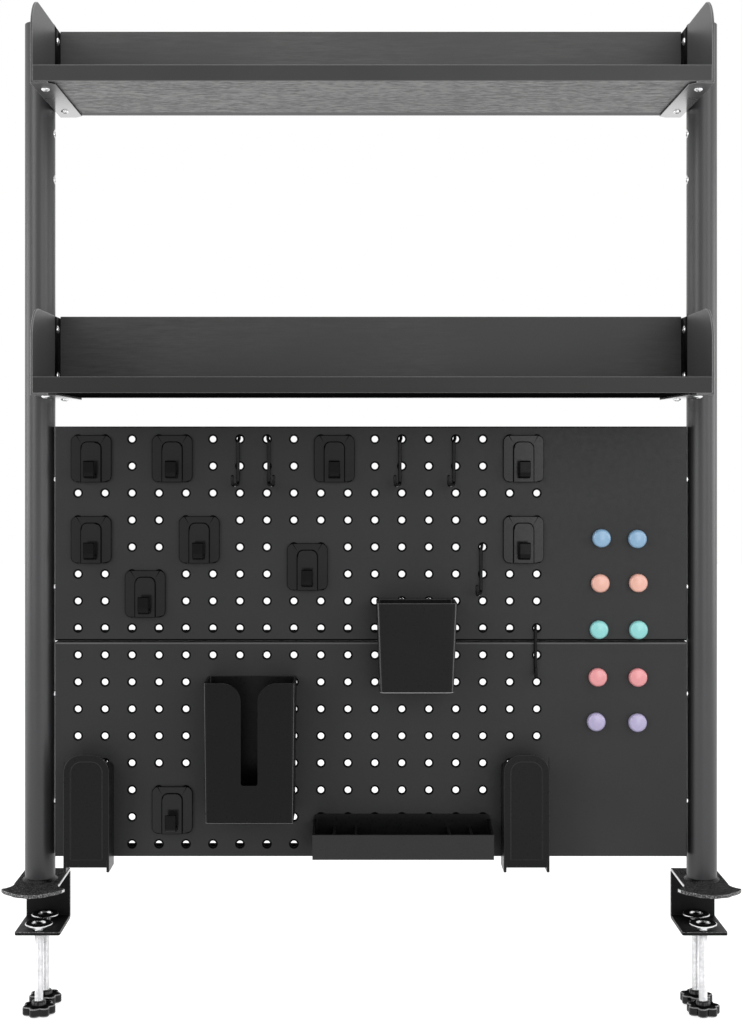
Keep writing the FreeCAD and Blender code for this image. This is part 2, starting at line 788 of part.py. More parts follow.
def make_plate_hook(number, left_column, tab_row):
    """A rounded plate with a raised arch and a J hook, two tabs above and two pins below."""
    centre = f"{column(left_column)} + hole_pitch / 2"
    hook = new_piece(f"plate_hook_{number:02d}", centre, "panel_face", f"{row(tab_row)} - hook_plate_drop")
    half_width = "hook_plate_width / 2"
    half_height = "hook_plate_height / 2"
    plate = (f"-{half_width}", f"-{half_height}", half_width, half_height, "hook_plate_round")
    slab(hook, "XZ", "-hook_plate_sheet", "0", rounded_rectangle(*plate))

    front = "-hook_plate_sheet - hook_boss_height"
    boss_half = "hook_boss_width / 2"
    boss_top = f"{half_height} - hook_boss_top"
    corner = f"hook_boss_round * {QUARTER}"
    arch = outline(
        (f"-{boss_half}", f"-{half_height}"),
        (boss_half, f"-{half_height}"),
        (boss_half, f"{boss_top} - hook_boss_round", corner),
        (f"{boss_half} - hook_boss_round", boss_top),
        (f"hook_boss_round - {boss_half}", boss_top, corner),
        (f"-{boss_half}", f"{boss_top} - hook_boss_round"),
    )
    slab(hook, "XZ", front, "-hook_plate_sheet", arch)

    tip = f"{front} - hook_reach"
    tip_low = "-hook_tip - hook_sheet / 2"
    inner_bend = "(hook_bend - hook_sheet)"
    hollow = f"-{inner_bend} * {QUARTER}"
    profile = outline(
        (f"{tip} + hook_bend", "-hook_bottom"),
        ("-hook_plate_sheet", "-hook_bottom"),
        ("-hook_plate_sheet", "hook_sheet - hook_bottom"),
        (f"{tip} + hook_bend", "hook_sheet - hook_bottom", hollow),
        (f"{tip} + hook_sheet", "hook_bend - hook_bottom"),
        (f"{tip} + hook_sheet", tip_low, "hook_tip_swell"),
        (tip, tip_low),
        (tip, "hook_bend - hook_bottom", f"hook_bend * {QUARTER}"),
    )
    slab(hook, "YZ", "-hook_width / 2", "hook_width / 2", profile)

    for side in SIDES.values():
        across = f"({side} * hole_pitch / 2)"
        panel_tab(hook, across, "hook_plate_drop")
        low = f"hook_plate_drop - hole_pitch - hole_flats / 2 + tab_play"
        pin = (f"{across} - tab_thickness / 2", low, f"{across} + tab_thickness / 2", f"{low} + tab_thickness")
        slab(hook, "XZ", "-hook_plate_sheet / 2", "panel_sheet + tab_reach", rectangle(*pin))


def make_wire_hook(number, hole_column, hole_row, side, turn):
    """A bent wire: up behind the sheet, through a hole, down in front, forward and up at its tip.

    Its origin is in the middle of the sheet's thickness, on the wire's own axis.
    """
    across = f"{column(hole_column)} + {side} * wire_shift"
    along = "panel_face + panel_sheet / 2"
    hook = new_piece(f"wire_hook_{number}", across, along, f"{row(hole_row)} - wire_drop")
    hook.Placement.Rotation = FreeCAD.Rotation(FreeCAD.Vector(0, 0, 1), turn)

    bottom = "-wire_height"
    front = "-wire_step - wire_reach"
    quarter = f"wire_bend * {QUARTER}"
    step = f"wire_step * {QUARTER}"
    route = (
        ("wire_step", "wire_rear"),
        ("wire_step", "wire_step", f"-{step}"),
        ("0", "0", step),
        ("-wire_step", "-wire_step"),
        ("-wire_step", f"{bottom} + wire_bend", f"-{quarter}"),
        ("-wire_step - wire_bend", bottom),
        (f"{front} + wire_bend", bottom, f"-{quarter}"),
        (front, f"{bottom} + wire_bend"),
        (front, f"{bottom} + wire_tip"),
    )
    path = new_sketch(hook, "YZ", "0", [open_route(route)])
    section = new_sketch(hook, "XY", "wire_rear", [regular("0", "wire_step", "wire_flats", 6)])
    edges = [f"Edge{edge + 1}" for edge in range(len(route) - 1)]
    add_feature(hook, "AdditivePipe", Profile=section, Spine=(path, edges))
    doc.recompute()


def open_route(corners):
    """An open line of straight runs and arcs, written like an outline."""
    def draw(sketch):
        points = [FreeCAD.Vector(size(corner[0]), size(corner[1]), 0) for corner in corners]
        ends = []
        for number, corner in enumerate(corners[:-1]):
            here, there = points[number], points[number + 1]
            if len(corner) == 2:
                sketch.addGeometry(Part.LineSegment(here, there), False)
                ends.append((1, 2))
            else:
                ends.append(draw_arc(sketch, here, there, size(corner[2])))
        for number, (tail, head) in enumerate(ends):
            fix_point(sketch, number, tail, *corners[number][:2])
            if len(corners[number]) > 2:
                fix_radius(sketch, number, arc_radius(corners[number], corners[number + 1]))
            if number + 1 < len(ends):
                joint = (number, head, number + 1, ends[number + 1][0])
                sketch.addConstraint(Sketcher.Constraint("Coincident", *joint))
        fix_point(sketch, len(ends) - 1, ends[-1][1], *corners[-1][:2])
    return draw


def holder_outline(width, depth, radius, wall="0"):
    """A level section of a holder whose back is flat against the panel, or of its hollow."""
    half = f"({width} / 2 - {wall})"
    return rounded_rectangle(f"-{half}", f"-({depth} - {wall})", half, f"-({wall})", radius)


def make_cup():
    """A pen cup that tapers down, with two tabs just under its rim."""
    centre = f"({column('cup_column')} + hole_pitch / 2)"
    cup = new_piece("pen_cup", centre, "panel_face", f"{row('cup_row')} + cup_above_row - cup_height")
    lower = holder_outline("cup_bottom_width", "cup_bottom_depth", "cup_round")
    upper = holder_outline("cup_top_width", "cup_top_depth", "cup_round")
    tapered(cup, "0", lower, "cup_height", upper)
    inner = "(cup_round - holder_wall)"
    lower = holder_outline("cup_bottom_width", "cup_bottom_depth", inner, "holder_wall")
    upper = holder_outline("cup_top_width", "cup_top_depth", inner, "holder_wall")
    tapered(cup, "holder_wall", lower, "cup_height", upper, cut=True)
    for side in SIDES.values():
        panel_tab(cup, f"({side} * hole_pitch / 2)", "(cup_height - cup_above_row)")


def make_bin():
    """A tall bin whose front is slit from its rim, with wide round shoulders at the mouth."""
    centre = f"({column('bin_column')} + hole_pitch / 2 + bin_shift)"
    up = f"{row('bin_row')} + bin_above_row - bin_height"
    holder = new_piece("slotted_bin", centre, "panel_face", up)
    lower = holder_outline("bin_bottom_width", "bin_depth", "bin_round")
    upper = holder_outline("bin_top_width", "bin_depth", "bin_round")
    tapered(holder, "0", lower, "bin_height", upper)
    inner = "(bin_round - holder_wall)"
    lower = holder_outline("bin_bottom_width", "bin_depth", inner, "holder_wall")
    upper = holder_outline("bin_top_width", "bin_depth", inner, "holder_wall")
    tapered(holder, "holder_wall", lower, "bin_height", upper, cut=True)
    half = "slot_width / 2"
    foot = f"slot_round * {QUARTER}"
    shoulder = f"-slot_shoulder * {QUARTER}"
    slot = outline(
        (f"slot_round - {half}", "slot_bottom"),
        (f"{half} - slot_round", "slot_bottom", foot),
        (half, "slot_bottom + slot_round"),
        (half, "bin_height - slot_shoulder", shoulder),
        (f"{half} + slot_shoulder", "bin_height"),
        (f"-{half} - slot_shoulder", "bin_height", shoulder),
        (f"-{half}", "bin_height - slot_shoulder"),
        (f"-{half}", "slot_bottom + slot_round", foot),
    )
    slab(holder, "XZ", "-bin_depth", "-bin_depth + holder_wall", slot, cut=True)
    for side in SIDES.values():
        panel_tab(holder, f"({side} * hole_pitch / 2 - bin_shift)", "(bin_height - bin_above_row)")


def make_tray():
    """A low tray with a higher back and four dividers."""
    tray = new_piece("pencil_tray", column("tray_column"), "panel_face", f"{row('tray_row')} - tray_below_row")
    half = "tray_width / 2"
    side_view = outline(
        ("-tray_depth", "0"),
        ("0", "0"),
        ("0", "tray_rear_height - tray_round"),
        ("-tray_depth", "tray_front_height"),
    )
    slab(tray, "YZ", f"-{half}", half, side_view)
    corner = f"tray_round * {QUARTER}"
    back = outline(
        (f"-{half}", "0"),
        (half, "0"),
        (half, "tray_rear_height - tray_round", corner),
        (f"{half} - tray_round", "tray_rear_height"),
        (f"tray_round - {half}", "tray_rear_height", corner),
        (f"-{half}", "tray_rear_height - tray_round"),
    )
    slab(tray, "XZ", "-holder_wall", "0", back)
    hollow = holder_outline("tray_width", "tray_depth", "holder_wall", "holder_wall")
    slab(tray, "XY", "holder_wall", "tray_rear_height", hollow, cut=True)
    for side in SIDES.values():
        for place in ("inner_divider", "outer_divider"):
            across = f"{side} * {place}"
            wall = rectangle("holder_wall - tray_depth", "holder_wall", "-holder_wall", "divider_height")
            slab(tray, "YZ", f"{across} - holder_wall / 2", f"{across} + holder_wall / 2", wall)
    for number in TRAY_TABS:
        panel_tab(tray, f"({number} * hole_pitch)", "tray_below_row")


def hanger_outline(inset, bottom, top, rounding="hanger_round"):
    """An upright shape with rounds at its top, drawn in from the hanger's own sides."""
    half = f"(hanger_width / 2 - {inset})"
    radius = f"({rounding} - {inset})"
    corner = f"{radius} * {QUARTER}"
    return outline(
        (f"-{half}", bottom),
        (half, bottom),
        (half, f"{top} - {radius}", corner),
        (f"{half} - {radius}", top),
        (f"{radius} - {half}", top, corner),
        (f"-{half}", f"{top} - {radius}"),
    )


def make_hanger(name, left_column):
    """A headphone hanger: a saddle, hollow and open below, behind a taller front with a dish."""
    centre = f"{column(left_column)} + hole_pitch / 2"
    up = f"{row('hanger_row')} + hanger_above_row - hanger_height"
    hanger = new_piece(f"{name}_headphone_hanger", centre, "panel_face", up)
    saddle = "hanger_height - hanger_lip"
    slab(hanger, "XZ", "-hanger_depth", "0", hanger_outline("0", "0", saddle, "saddle_round"))
    front = hanger_outline("0", "0", "hanger_height")
    slab(hanger, "XZ", "-hanger_depth", "hanger_wall - hanger_depth", front)
    inside = hanger_outline("hanger_wall", "0", f"{saddle} - hanger_wall", "saddle_round")
    slab(hanger, "XZ", "hanger_wall - hanger_depth", "-hanger_wall", inside, cut=True)
    dish = hanger_outline("hanger_border", "hanger_foot + hanger_bevel", "hanger_height - hanger_border")
    slab(hanger, "XZ", "-hanger_depth", "hanger_dish - hanger_depth", dish, cut=True)
    between = "(hanger_width / 2 - hanger_wall)"
    bevel = outline(
        ("-hanger_depth", "0"),
        ("hanger_wall - hanger_depth", "0"),
        ("hanger_wall - hanger_depth", "hanger_foot"),
        ("hanger_wall / 2 - hanger_depth", "hanger_foot"),
        ("-hanger_depth", "hanger_foot + hanger_bevel"),
    )
    slab(hanger, "YZ", f"-{between}", between, bevel, cut=True)
    for side in SIDES.values():
        panel_tab(hanger, f"({side} * hole_pitch / 2)", "(hanger_height - hanger_above_row)")


def make_magnet(label, across, up):
    """A thick round magnet with a domed cap, standing out of the panels' front face."""
    magnet = new_piece(label, f"{PANEL_EDGE} - {across}", "panel_face", f"panel_bottom + {up}")
    magnet.Placement.Rotation = FreeCAD.Rotation(FreeCAD.Vector(1, 0, 0), 90)
    turned(
        magnet,
        ("0", "0"),
        ("magnet_diameter / 2", "0"),
        ("magnet_diameter / 2", "magnet_side"),
        ("magnet_top_diameter / 2", "magnet_height"),
        ("0", "magnet_height"),
    )


def build():
    for name, side in SIDES.items():
        make_post(name, side)
        make_clamp_bracket(name, side)
        for end, along in CLAMP_SCREWS.items():
            make_clamp_screw(name, side, end, along)
    make_caps()
    for label, bottom in PANELS.items():
        make_panel(label, bottom)
    for shelf, bottom in SHELVES.items():
        make_shelf(shelf, bottom)
    make_screws()
    make_rivet_nuts()
    for number, place in enumerate(PLATE_HOOKS, start=1):
        make_plate_hook(number, *place)
    for number, place in enumerate(WIRE_HOOKS, start=1):
        make_wire_hook(number, *place)
    make_cup()
    make_bin()
    make_tray()
    make_hanger("left", 0)
    make_hanger("right", 16)
    for label, place in MAGNETS.items():
        make_magnet(label, *place)


def write_nodes():
    """Check the whole document, then write each sub-part to its own file."""
    doc.recompute()
    failed = [item.Label for item in doc.Objects if {"Invalid", "Error"} & set(item.State)]
    bad = [node.Label for node in nodes if node.Shape.isNull() or not node.Shape.isValid()]
    if failed or bad:
        raise RuntimeError(f"failed objects {failed}, bad shapes {bad}")
    os.makedirs("parts", exist_ok=True)
    for node in nodes:
        node.Shape.exportStep(f"parts/{node.Label}.step")


build()
write_nodes()
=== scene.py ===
import json
import math

import bmesh
import bpy
from mathutils import Matrix, Vector
from mathutils.geometry import delaunay_2d_cdt


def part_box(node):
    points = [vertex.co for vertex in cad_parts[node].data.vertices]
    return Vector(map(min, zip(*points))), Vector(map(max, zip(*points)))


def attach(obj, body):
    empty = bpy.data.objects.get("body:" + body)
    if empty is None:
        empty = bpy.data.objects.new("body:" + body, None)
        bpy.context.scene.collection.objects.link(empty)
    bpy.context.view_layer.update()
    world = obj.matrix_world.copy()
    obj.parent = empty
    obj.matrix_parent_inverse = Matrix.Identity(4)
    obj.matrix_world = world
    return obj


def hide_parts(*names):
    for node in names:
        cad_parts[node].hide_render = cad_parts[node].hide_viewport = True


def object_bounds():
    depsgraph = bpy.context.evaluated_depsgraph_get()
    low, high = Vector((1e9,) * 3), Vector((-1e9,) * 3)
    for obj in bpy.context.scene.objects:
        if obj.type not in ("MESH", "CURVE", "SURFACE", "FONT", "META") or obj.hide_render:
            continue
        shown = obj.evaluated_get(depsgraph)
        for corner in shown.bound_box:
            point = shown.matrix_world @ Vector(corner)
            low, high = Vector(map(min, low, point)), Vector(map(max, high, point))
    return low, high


# Looks of the clamp-on desk pegboard. Metres, in the CAD row frame: X right, Y to the rear, Z up.

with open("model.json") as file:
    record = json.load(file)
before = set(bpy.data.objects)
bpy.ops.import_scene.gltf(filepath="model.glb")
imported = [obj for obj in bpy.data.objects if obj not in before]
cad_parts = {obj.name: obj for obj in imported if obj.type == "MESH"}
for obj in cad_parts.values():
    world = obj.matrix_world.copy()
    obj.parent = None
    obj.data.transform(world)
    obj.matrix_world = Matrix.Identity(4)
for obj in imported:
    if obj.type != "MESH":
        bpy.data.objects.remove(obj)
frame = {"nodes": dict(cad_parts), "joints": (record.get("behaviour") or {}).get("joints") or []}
cad_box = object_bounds()

MM = 0.001
ROOT = "frame"
SIDES = {"left": -1, "right": 1}
SHELVES = ("top", "middle")
nodes = frame["nodes"]


# ---------------------------------------------------------------- nodes of a material


def new_material(name, colour, roughness, metallic=0.0, specular=0.5, coat=0.0):
    """A Principled material and a small kit of its nodes to build detail on."""
    material = bpy.data.materials.new(name)
    material.use_nodes = True
    tree = material.node_tree
    shader = tree.nodes["Principled BSDF"]
    shader.inputs["Base Color"].default_value = (*colour, 1)
    shader.inputs["Roughness"].default_value = roughness
    shader.inputs["Metallic"].default_value = metallic
    shader.inputs["Specular IOR Level"].default_value = specular
    shader.inputs["Coat Weight"].default_value = coat
    shader.inputs["Coat Roughness"].default_value = 0.12
    coordinates = tree.nodes.new("ShaderNodeTexCoord")
    return material, tree, shader, coordinates.outputs["Object"]


def noise(tree, vector, scale, detail, roughness=0.5, stretch=None):
    """Noise over object coordinates, drawn out along an axis where stretch is given."""
    if stretch:
        mapping = tree.nodes.new("ShaderNodeMapping")
        mapping.inputs["Scale"].default_value = stretch
        tree.links.new(vector, mapping.inputs["Vector"])
        vector = mapping.outputs["Vector"]
    texture = tree.nodes.new("ShaderNodeTexNoise")
    texture.inputs["Scale"].default_value = scale
    texture.inputs["Detail"].default_value = detail
    texture.inputs["Roughness"].default_value = roughness
    tree.links.new(vector, texture.inputs["Vector"])
    return texture.outputs["Fac"]


def ranged(tree, value, low, high, start=0.3, stop=0.7):
    """A texture's value from start to stop spread over low to high."""
    node = tree.nodes.new("ShaderNodeMapRange")
    node.inputs["From Min"].default_value = start
    node.inputs["From Max"].default_value = stop
    node.inputs["To Min"].default_value = low
    node.inputs["To Max"].default_value = high
    tree.links.new(value, node.inputs["Value"])
    return node.outputs["Result"]


def math_node(tree, operation, *values):
    """The result of an operation on sockets and numbers."""
    node = tree.nodes.new("ShaderNodeMath")
    node.operation = operation
    for socket, value in zip(node.inputs, values):
        if isinstance(value, (int, float)):
            socket.default_value = value
        else:
            tree.links.new(value, socket)
    return node.outputs["Value"]


def apart(tree, vector):
    """The X, Y and Z of a vector."""
    node = tree.nodes.new("ShaderNodeSeparateXYZ")
    tree.links.new(vector, node.inputs["Vector"])
    return node.outputs


def ramp(tree, value, *stops):
    """A colour ramp of (position, colour) stops."""
    node = tree.nodes.new("ShaderNodeValToRGB")
    elements = node.color_ramp.elements
    while len(elements) < len(stops):
        elements.new(0.5)
    for element, (position, colour) in zip(elements, stops):
        element.position = position
        element.color = (*colour, 1)
    tree.links.new(value, node.inputs["Fac"])
    return node.outputs["Color"]


def mottle(tree, shader, tone, colour, deep, pale):
    """Colour the surface with a texture, from deep to pale times the colour."""
    low, high = [tuple(min(1.0, channel * factor) for channel in colour)
                 for factor in (deep, pale)]
    mixed = ramp(tree, tone, (0.3, low), (0.7, high))
    tree.links.new(mixed, shader.inputs["Base Color"])


def vary_gloss(tree, shader, texture, low, high):
    """Let the roughness go from low to high with a texture."""
    tree.links.new(ranged(tree, texture, low, high), shader.inputs["Roughness"])


def bump(tree, shader, height, distance):
    """Add a bump of a real distance on top of any that the shader has."""
    node = tree.nodes.new("ShaderNodeBump")
    node.inputs["Distance"].default_value = distance
    node.inputs["Strength"].default_value = 1.0
    tree.links.new(height, node.inputs["Height"])
    normal = shader.inputs["Normal"]
    if normal.is_linked:
        tree.links.new(normal.links[0].from_socket, node.inputs["Normal"])
    tree.links.new(node.outputs["Normal"], normal)


def grey(level):
    return (level, level, level)


# ---------------------------------------------------------------- kinds of material
#
# A noise scale is in waves per metre, and a bump's height is a real distance.


def powder_coat(name, colour, roughness, grain, specular, uneven=0.055):
    """Powder-coated steel: orange peel, fine grain, slightly uneven tone and gloss."""
    material, tree, shader, place = new_material(name, colour, roughness, specular=specular)
    mottle(tree, shader, noise(tree, place, 14, 4), colour, 0.92, 1.1)
    vary_gloss(tree, shader, noise(tree, place, 220, 2), roughness - uneven, roughness + uneven)
    bump(tree, shader, noise(tree, place, 700, 2), grain * 1.6)
    bump(tree, shader, noise(tree, place, 3200, 1), grain * 0.5)
    return material


def satin_coat(name, colour, roughness, specular):
    """A smooth, even powder coat or edge band."""
    return powder_coat(name, colour, roughness, 0.0006 * MM, specular, uneven=0.006)


def speckled(name, dark, light, roughness, specular=0.03):
    """A coarse powder coat: light flecks about a millimetre apart on a dark ground."""
    material, tree, shader, place = new_material(name, dark, roughness, specular=specular)
    flecks = noise(tree, place, 900, 3, 0.7)
    tree.links.new(ramp(tree, flecks, (0.47, dark), (0.64, light)), shader.inputs["Base Color"])
    vary_gloss(tree, shader, flecks, roughness + 0.08, roughness - 0.12)
    bump(tree, shader, flecks, 0.12 * MM)
    return material


def laminate(name, dark, light, contrast, specular=0.35, draw=0.1, fineness=300, stops=(0.1, 0.9)):
    """Black wood-grain laminate: streaks along the board, pores and a faint satin relief.

    The nearer draw is to 1, the shorter the streaks, and the nearer the stops, the sharper.
    """
    material, tree, shader, place = new_material(name, dark, 0.5, specular=specular)
    wave = noise(tree, place, fineness, 4, 0.65, (draw, 1, 1))
    pores = noise(tree, place, fineness * 3.5, 2, 0.6, (draw * 0.7, 1, 1))
    patches = noise(tree, place, 9, 2, 0.5, (0.5, 1, 1))
    grain = math_node(tree, "MULTIPLY_ADD", ranged(tree, pores, 0.0, 1.0), 0.45,
                      ranged(tree, wave, 0.0, 0.55))
    fading = ranged(tree, patches, 1.0 - contrast, 1.0, 0.35, 0.65)
    streaks = math_node(tree, "MULTIPLY", grain, fading)
    mixed = ramp(tree, streaks, (stops[0], dark), (stops[1], light))
    tree.links.new(mixed, shader.inputs["Base Color"])
    vary_gloss(tree, shader, streaks, 0.5, 0.42)
    bump(tree, shader, streaks, 0.02 * MM)
    return material


def polished_tab(name, colour):
    """The glossy underside of a bent tab: smoother towards the rear."""
    material, tree, shader, place = new_material(name, colour, 0.3, specular=0.9, coat=0.6)
    along = apart(tree, place)["Y"]
    rougher = ranged(tree, along, 0.42, 0.1, -120 * MM, 10 * MM)
    tree.links.new(rougher, shader.inputs["Roughness"])
    glossier = ranged(tree, along, 0.1, 1.0, -110 * MM, 0.0)
    tree.links.new(glossier, shader.inputs["Coat Weight"])
    mottle(tree, shader, noise(tree, place, 60, 3), colour, 0.9, 1.1)
    bump(tree, shader, noise(tree, place, 900, 2), 0.004 * MM)
    return material


def edge_highlight(name, above, below, slot=None):
    """Painted highlights on the edges of a moulding: paler where they look down than where they
    look up.

    The edges of a slot stay dark, as painted shade. The slot is its middle x, half its width and
    its foot.
    """
    roughness = 0.3
    material, tree, shader, place = new_material(name, above, roughness, specular=0.2)
    facing = tree.nodes.new("ShaderNodeTexCoord")
    upward = apart(tree, facing.outputs["Normal"])["Z"]
    height = ranged(tree, upward, 0.0, 1.0, -0.5, 0.3)
    if slot:
        middle, half, foot = slot
        spot = apart(tree, place)
        aside = math_node(tree, "ABSOLUTE", math_node(tree, "SUBTRACT", spot["X"], middle))
        inside = math_node(tree, "LESS_THAN", aside, half)
        raised = math_node(tree, "GREATER_THAN", spot["Z"], foot)
        height = math_node(tree, "MAXIMUM", height, math_node(tree, "MULTIPLY", inside, raised))
    mixed = ramp(tree, height, (0.1, below), (0.9, above))
    tree.links.new(mixed, shader.inputs["Base Color"])
    vary_gloss(tree, shader, noise(tree, place, 420, 2), roughness - 0.04, roughness + 0.05)
    bump(tree, shader, noise(tree, place, 2600, 2), 0.006 * MM)
    return material


def moulded(name, colour, roughness, specular=0.45):
    """Moulded plastic with a fine etched grain."""
    material, tree, shader, place = new_material(name, colour, roughness, specular=specular)
    mottle(tree, shader, noise(tree, place, 25, 3), colour, 0.94, 1.06)
    vary_gloss(tree, shader, noise(tree, place, 420, 2), roughness - 0.04, roughness + 0.05)
    bump(tree, shader, noise(tree, place, 2600, 2), 0.012 * MM)
    return material


def plated(name, colour, roughness, brushed=(1, 1, 0.12)):
    """Zinc or nickel plate: small scratches and a slightly blotchy sheen."""
    material, tree, shader, place = new_material(name, colour, roughness, metallic=1.0)
    mottle(tree, shader, noise(tree, place, 180, 3), colour, 0.85, 1.08)
    scratches = noise(tree, place, 1500, 2, 0.5, brushed)
    vary_gloss(tree, shader, scratches, roughness - 0.08, roughness + 0.12)
    bump(tree, shader, scratches, 0.008 * MM)
    return material


def glossy_cap(name, colour):
    """The magnets' caps: glossy moulded plastic, a little uneven in tone."""
    material, tree, shader, place = new_material(name, colour, 0.3, specular=0.5, coat=0.35)
    mottle(tree, shader, noise(tree, place, 60, 2), colour, 0.95, 1.04)
    vary_gloss(tree, shader, noise(tree, place, 900, 2), 0.26, 0.36)
    bump(tree, shader, noise(tree, place, 1800, 1), 0.006 * MM)
    return material


# ---------------------------------------------------------------- the materials

POST = satin_coat("post_coat", (0.032, 0.032, 0.034), 0.36, 0.45)
WELD = powder_coat("weld_coat", grey(0.003), 0.28, 0.06 * MM, 0.2)
CLAMP = powder_coat("clamp_coat", grey(0.004), 0.45, 0.03 * MM, 0.12)
COARSE = speckled("coarse_coat", grey(0.003), grey(0.10), 0.8)
# The base plates' cut front edges: a speckled coat, its pale flecks partly the coat's grain and
# partly painted highlight.
ROUGH_EDGE_HIGHLIGHT = speckled("rough_edge_painted_highlight", grey(0.02), grey(0.36), 0.5, 0.2)
# A painted glint: near white on the inner side of the clamps' base plates.
INNER_EDGE_GLINT = powder_coat("inner_edge_painted_glint", grey(0.85), 0.3, 0.001 * MM, 0.5)
# The clamps' rounded edges: a speckled coat with painted highlights.
CLAMP_EDGE_HIGHLIGHT = speckled("clamp_edge_painted_highlight", grey(0.06), grey(0.40), 0.5, 0.3)

PANEL = powder_coat("panel_coat", (0.022, 0.022, 0.023), 0.45, 0.01 * MM, 0.2)
# Painted shade on the holes' rounded rims and walls.
HOLE_EDGE_SHADE = powder_coat("hole_edge_painted_shade", grey(0.001), 0.6, 0.004 * MM, 0.02)
# Painted highlight on the lower panel's front fold at the seam.
LIT_FOLD_EDGE = powder_coat("fold_edge_painted_highlight", grey(0.075), 0.35, 0.001 * MM, 0.3)
# Painted shade: near black for the seam between the panels, the tabs' inner edges and the strips
# beside the back boards.
PAINTED_SHADE = powder_coat("painted_shade_coat", grey(0.002), 0.5, 0.004 * MM, 0.03)

PLATE = satin_coat("plate_coat", (0.050, 0.050, 0.051), 0.4, 0.35)
# Painted highlight on the side plates' rounded edges.
PLATE_EDGE_HIGHLIGHT = powder_coat("plate_edge_painted_highlight", grey(0.16), 0.3, 0.001 * MM, 0.5)
TAB = polished_tab("tab_coat", (0.045, 0.045, 0.046))

BOARD = laminate("board_laminate", grey(0.040), (0.056, 0.055, 0.055), 0.9)
# Painted light: the top shelf's back board, underside and front band are lighter copies, lit from
# above, and the middle shelf's darker copies are painted shade under the top shelf.
BACKS_BY_LIGHT = {
    "top": laminate("top_back_laminate_painted_light", grey(0.056), (0.088, 0.087, 0.086), 0.9, 0.3),
    "middle": laminate("middle_back_laminate_painted_shade", grey(0.036), (0.056, 0.055, 0.055), 0.9, 0.3),
}
# The top underside's streaks are its grain; its pale tone is painted light.
UNDERSIDES_BY_LIGHT = {
    "top": laminate("top_underside_laminate_painted_light", grey(0.050), (0.330, 0.327, 0.324), 0.15, 0.3,
                    draw=0.2, fineness=380, stops=(0.28, 0.62)),
    "middle": laminate("middle_underside_laminate_painted_shade", grey(0.004), grey(0.010), 0.3, 0.0),
}
BANDS_BY_LIGHT = {
    "top": satin_coat("top_edge_band_painted_light", grey(0.028), 0.4, 0.28),
    "middle": satin_coat("middle_edge_band_painted_shade", grey(0.018), 0.4, 0.2),
}
# Painted highlight on the boards' rounded edges.
BOARD_EDGE_HIGHLIGHT = satin_coat("band_edge_painted_highlight", grey(0.12), 0.35, 0.4)

CAP = moulded("cap_plastic", (0.030, 0.030, 0.031), 0.35)
HOLDER = moulded("holder_plastic", grey(0.006), 0.3, 0.13)
BIN = moulded("bin_plastic", grey(0.004), 0.3, 0.12)
TRAY = moulded("tray_plastic", grey(0.017), 0.3, 0.22)
# Painted highlights on the rounded edges of the cup and the tray, paler where they look down.
HOLDER_EDGE_HIGHLIGHT = edge_highlight("holder_edge_highlight", grey(0.014), grey(0.42))
# Painted highlight on the front corners of the cup and the bin.
CORNER_HIGHLIGHT = moulded("holder_corner_painted_highlight", grey(0.075), 0.3, 0.3)
# Dim painted highlights on the hangers' rounded edges.
HANGER_EDGE_HIGHLIGHT = edge_highlight("hanger_edge_highlight", grey(0.012), grey(0.026))
HOOK = moulded("hook_plastic", grey(0.009), 0.16, 0.22)
# Painted shade: near-black rounds that draw dark outlines on the plate hooks.
HOOK_EDGE_SHADE = moulded("hook_edge_painted_shade", grey(0.001), 0.5, 0.04)
# Painted shade: the hooks' arms darker than their bosses.
HOOK_ARM_SHADE = moulded("hook_arm_painted_shade", grey(0.003), 0.2, 0.1)
KNOB = moulded("knob_plastic", grey(0.003), 0.14, 0.25)
KNOB_TOP = moulded("knob_top", grey(0.002), 0.7, 0.02)
# Painted highlight on the knobs' rounded rims.
KNOB_RIM_HIGHLIGHT = moulded("knob_rim_painted_highlight", grey(0.16), 0.2, 0.5)
SOCKET = moulded("socket_shade", grey(0.004), 0.5, 0.1)
RUBBER = moulded("pad_rubber", grey(0.002), 0.7, 0.03)
WIRE = powder_coat("wire_coat", grey(0.004), 0.22, 0.006 * MM, 0.1)

BRIGHT = plated("screw_zinc", (0.74, 0.74, 0.75), 0.25)
ROD = plated("rod_zinc", (0.66, 0.66, 0.67), 0.35, brushed=(0.2, 0.2, 1))
PAD = plated("pad_zinc", (0.80, 0.80, 0.81), 0.2)

MAGNET_COLOURS = {
    "blue": (0.229, 0.397, 0.575),
    "peach": (0.780, 0.420, 0.333),
    "teal": (0.250, 0.632, 0.620),
    "coral": (0.770, 0.298, 0.309),
    "lavender": (0.412, 0.366, 0.553),
}
MAGNETS = {colour: glossy_cap(f"magnet_{colour}", value)
           for colour, value in MAGNET_COLOURS.items()}


# ---------------------------------------------------------------- forms


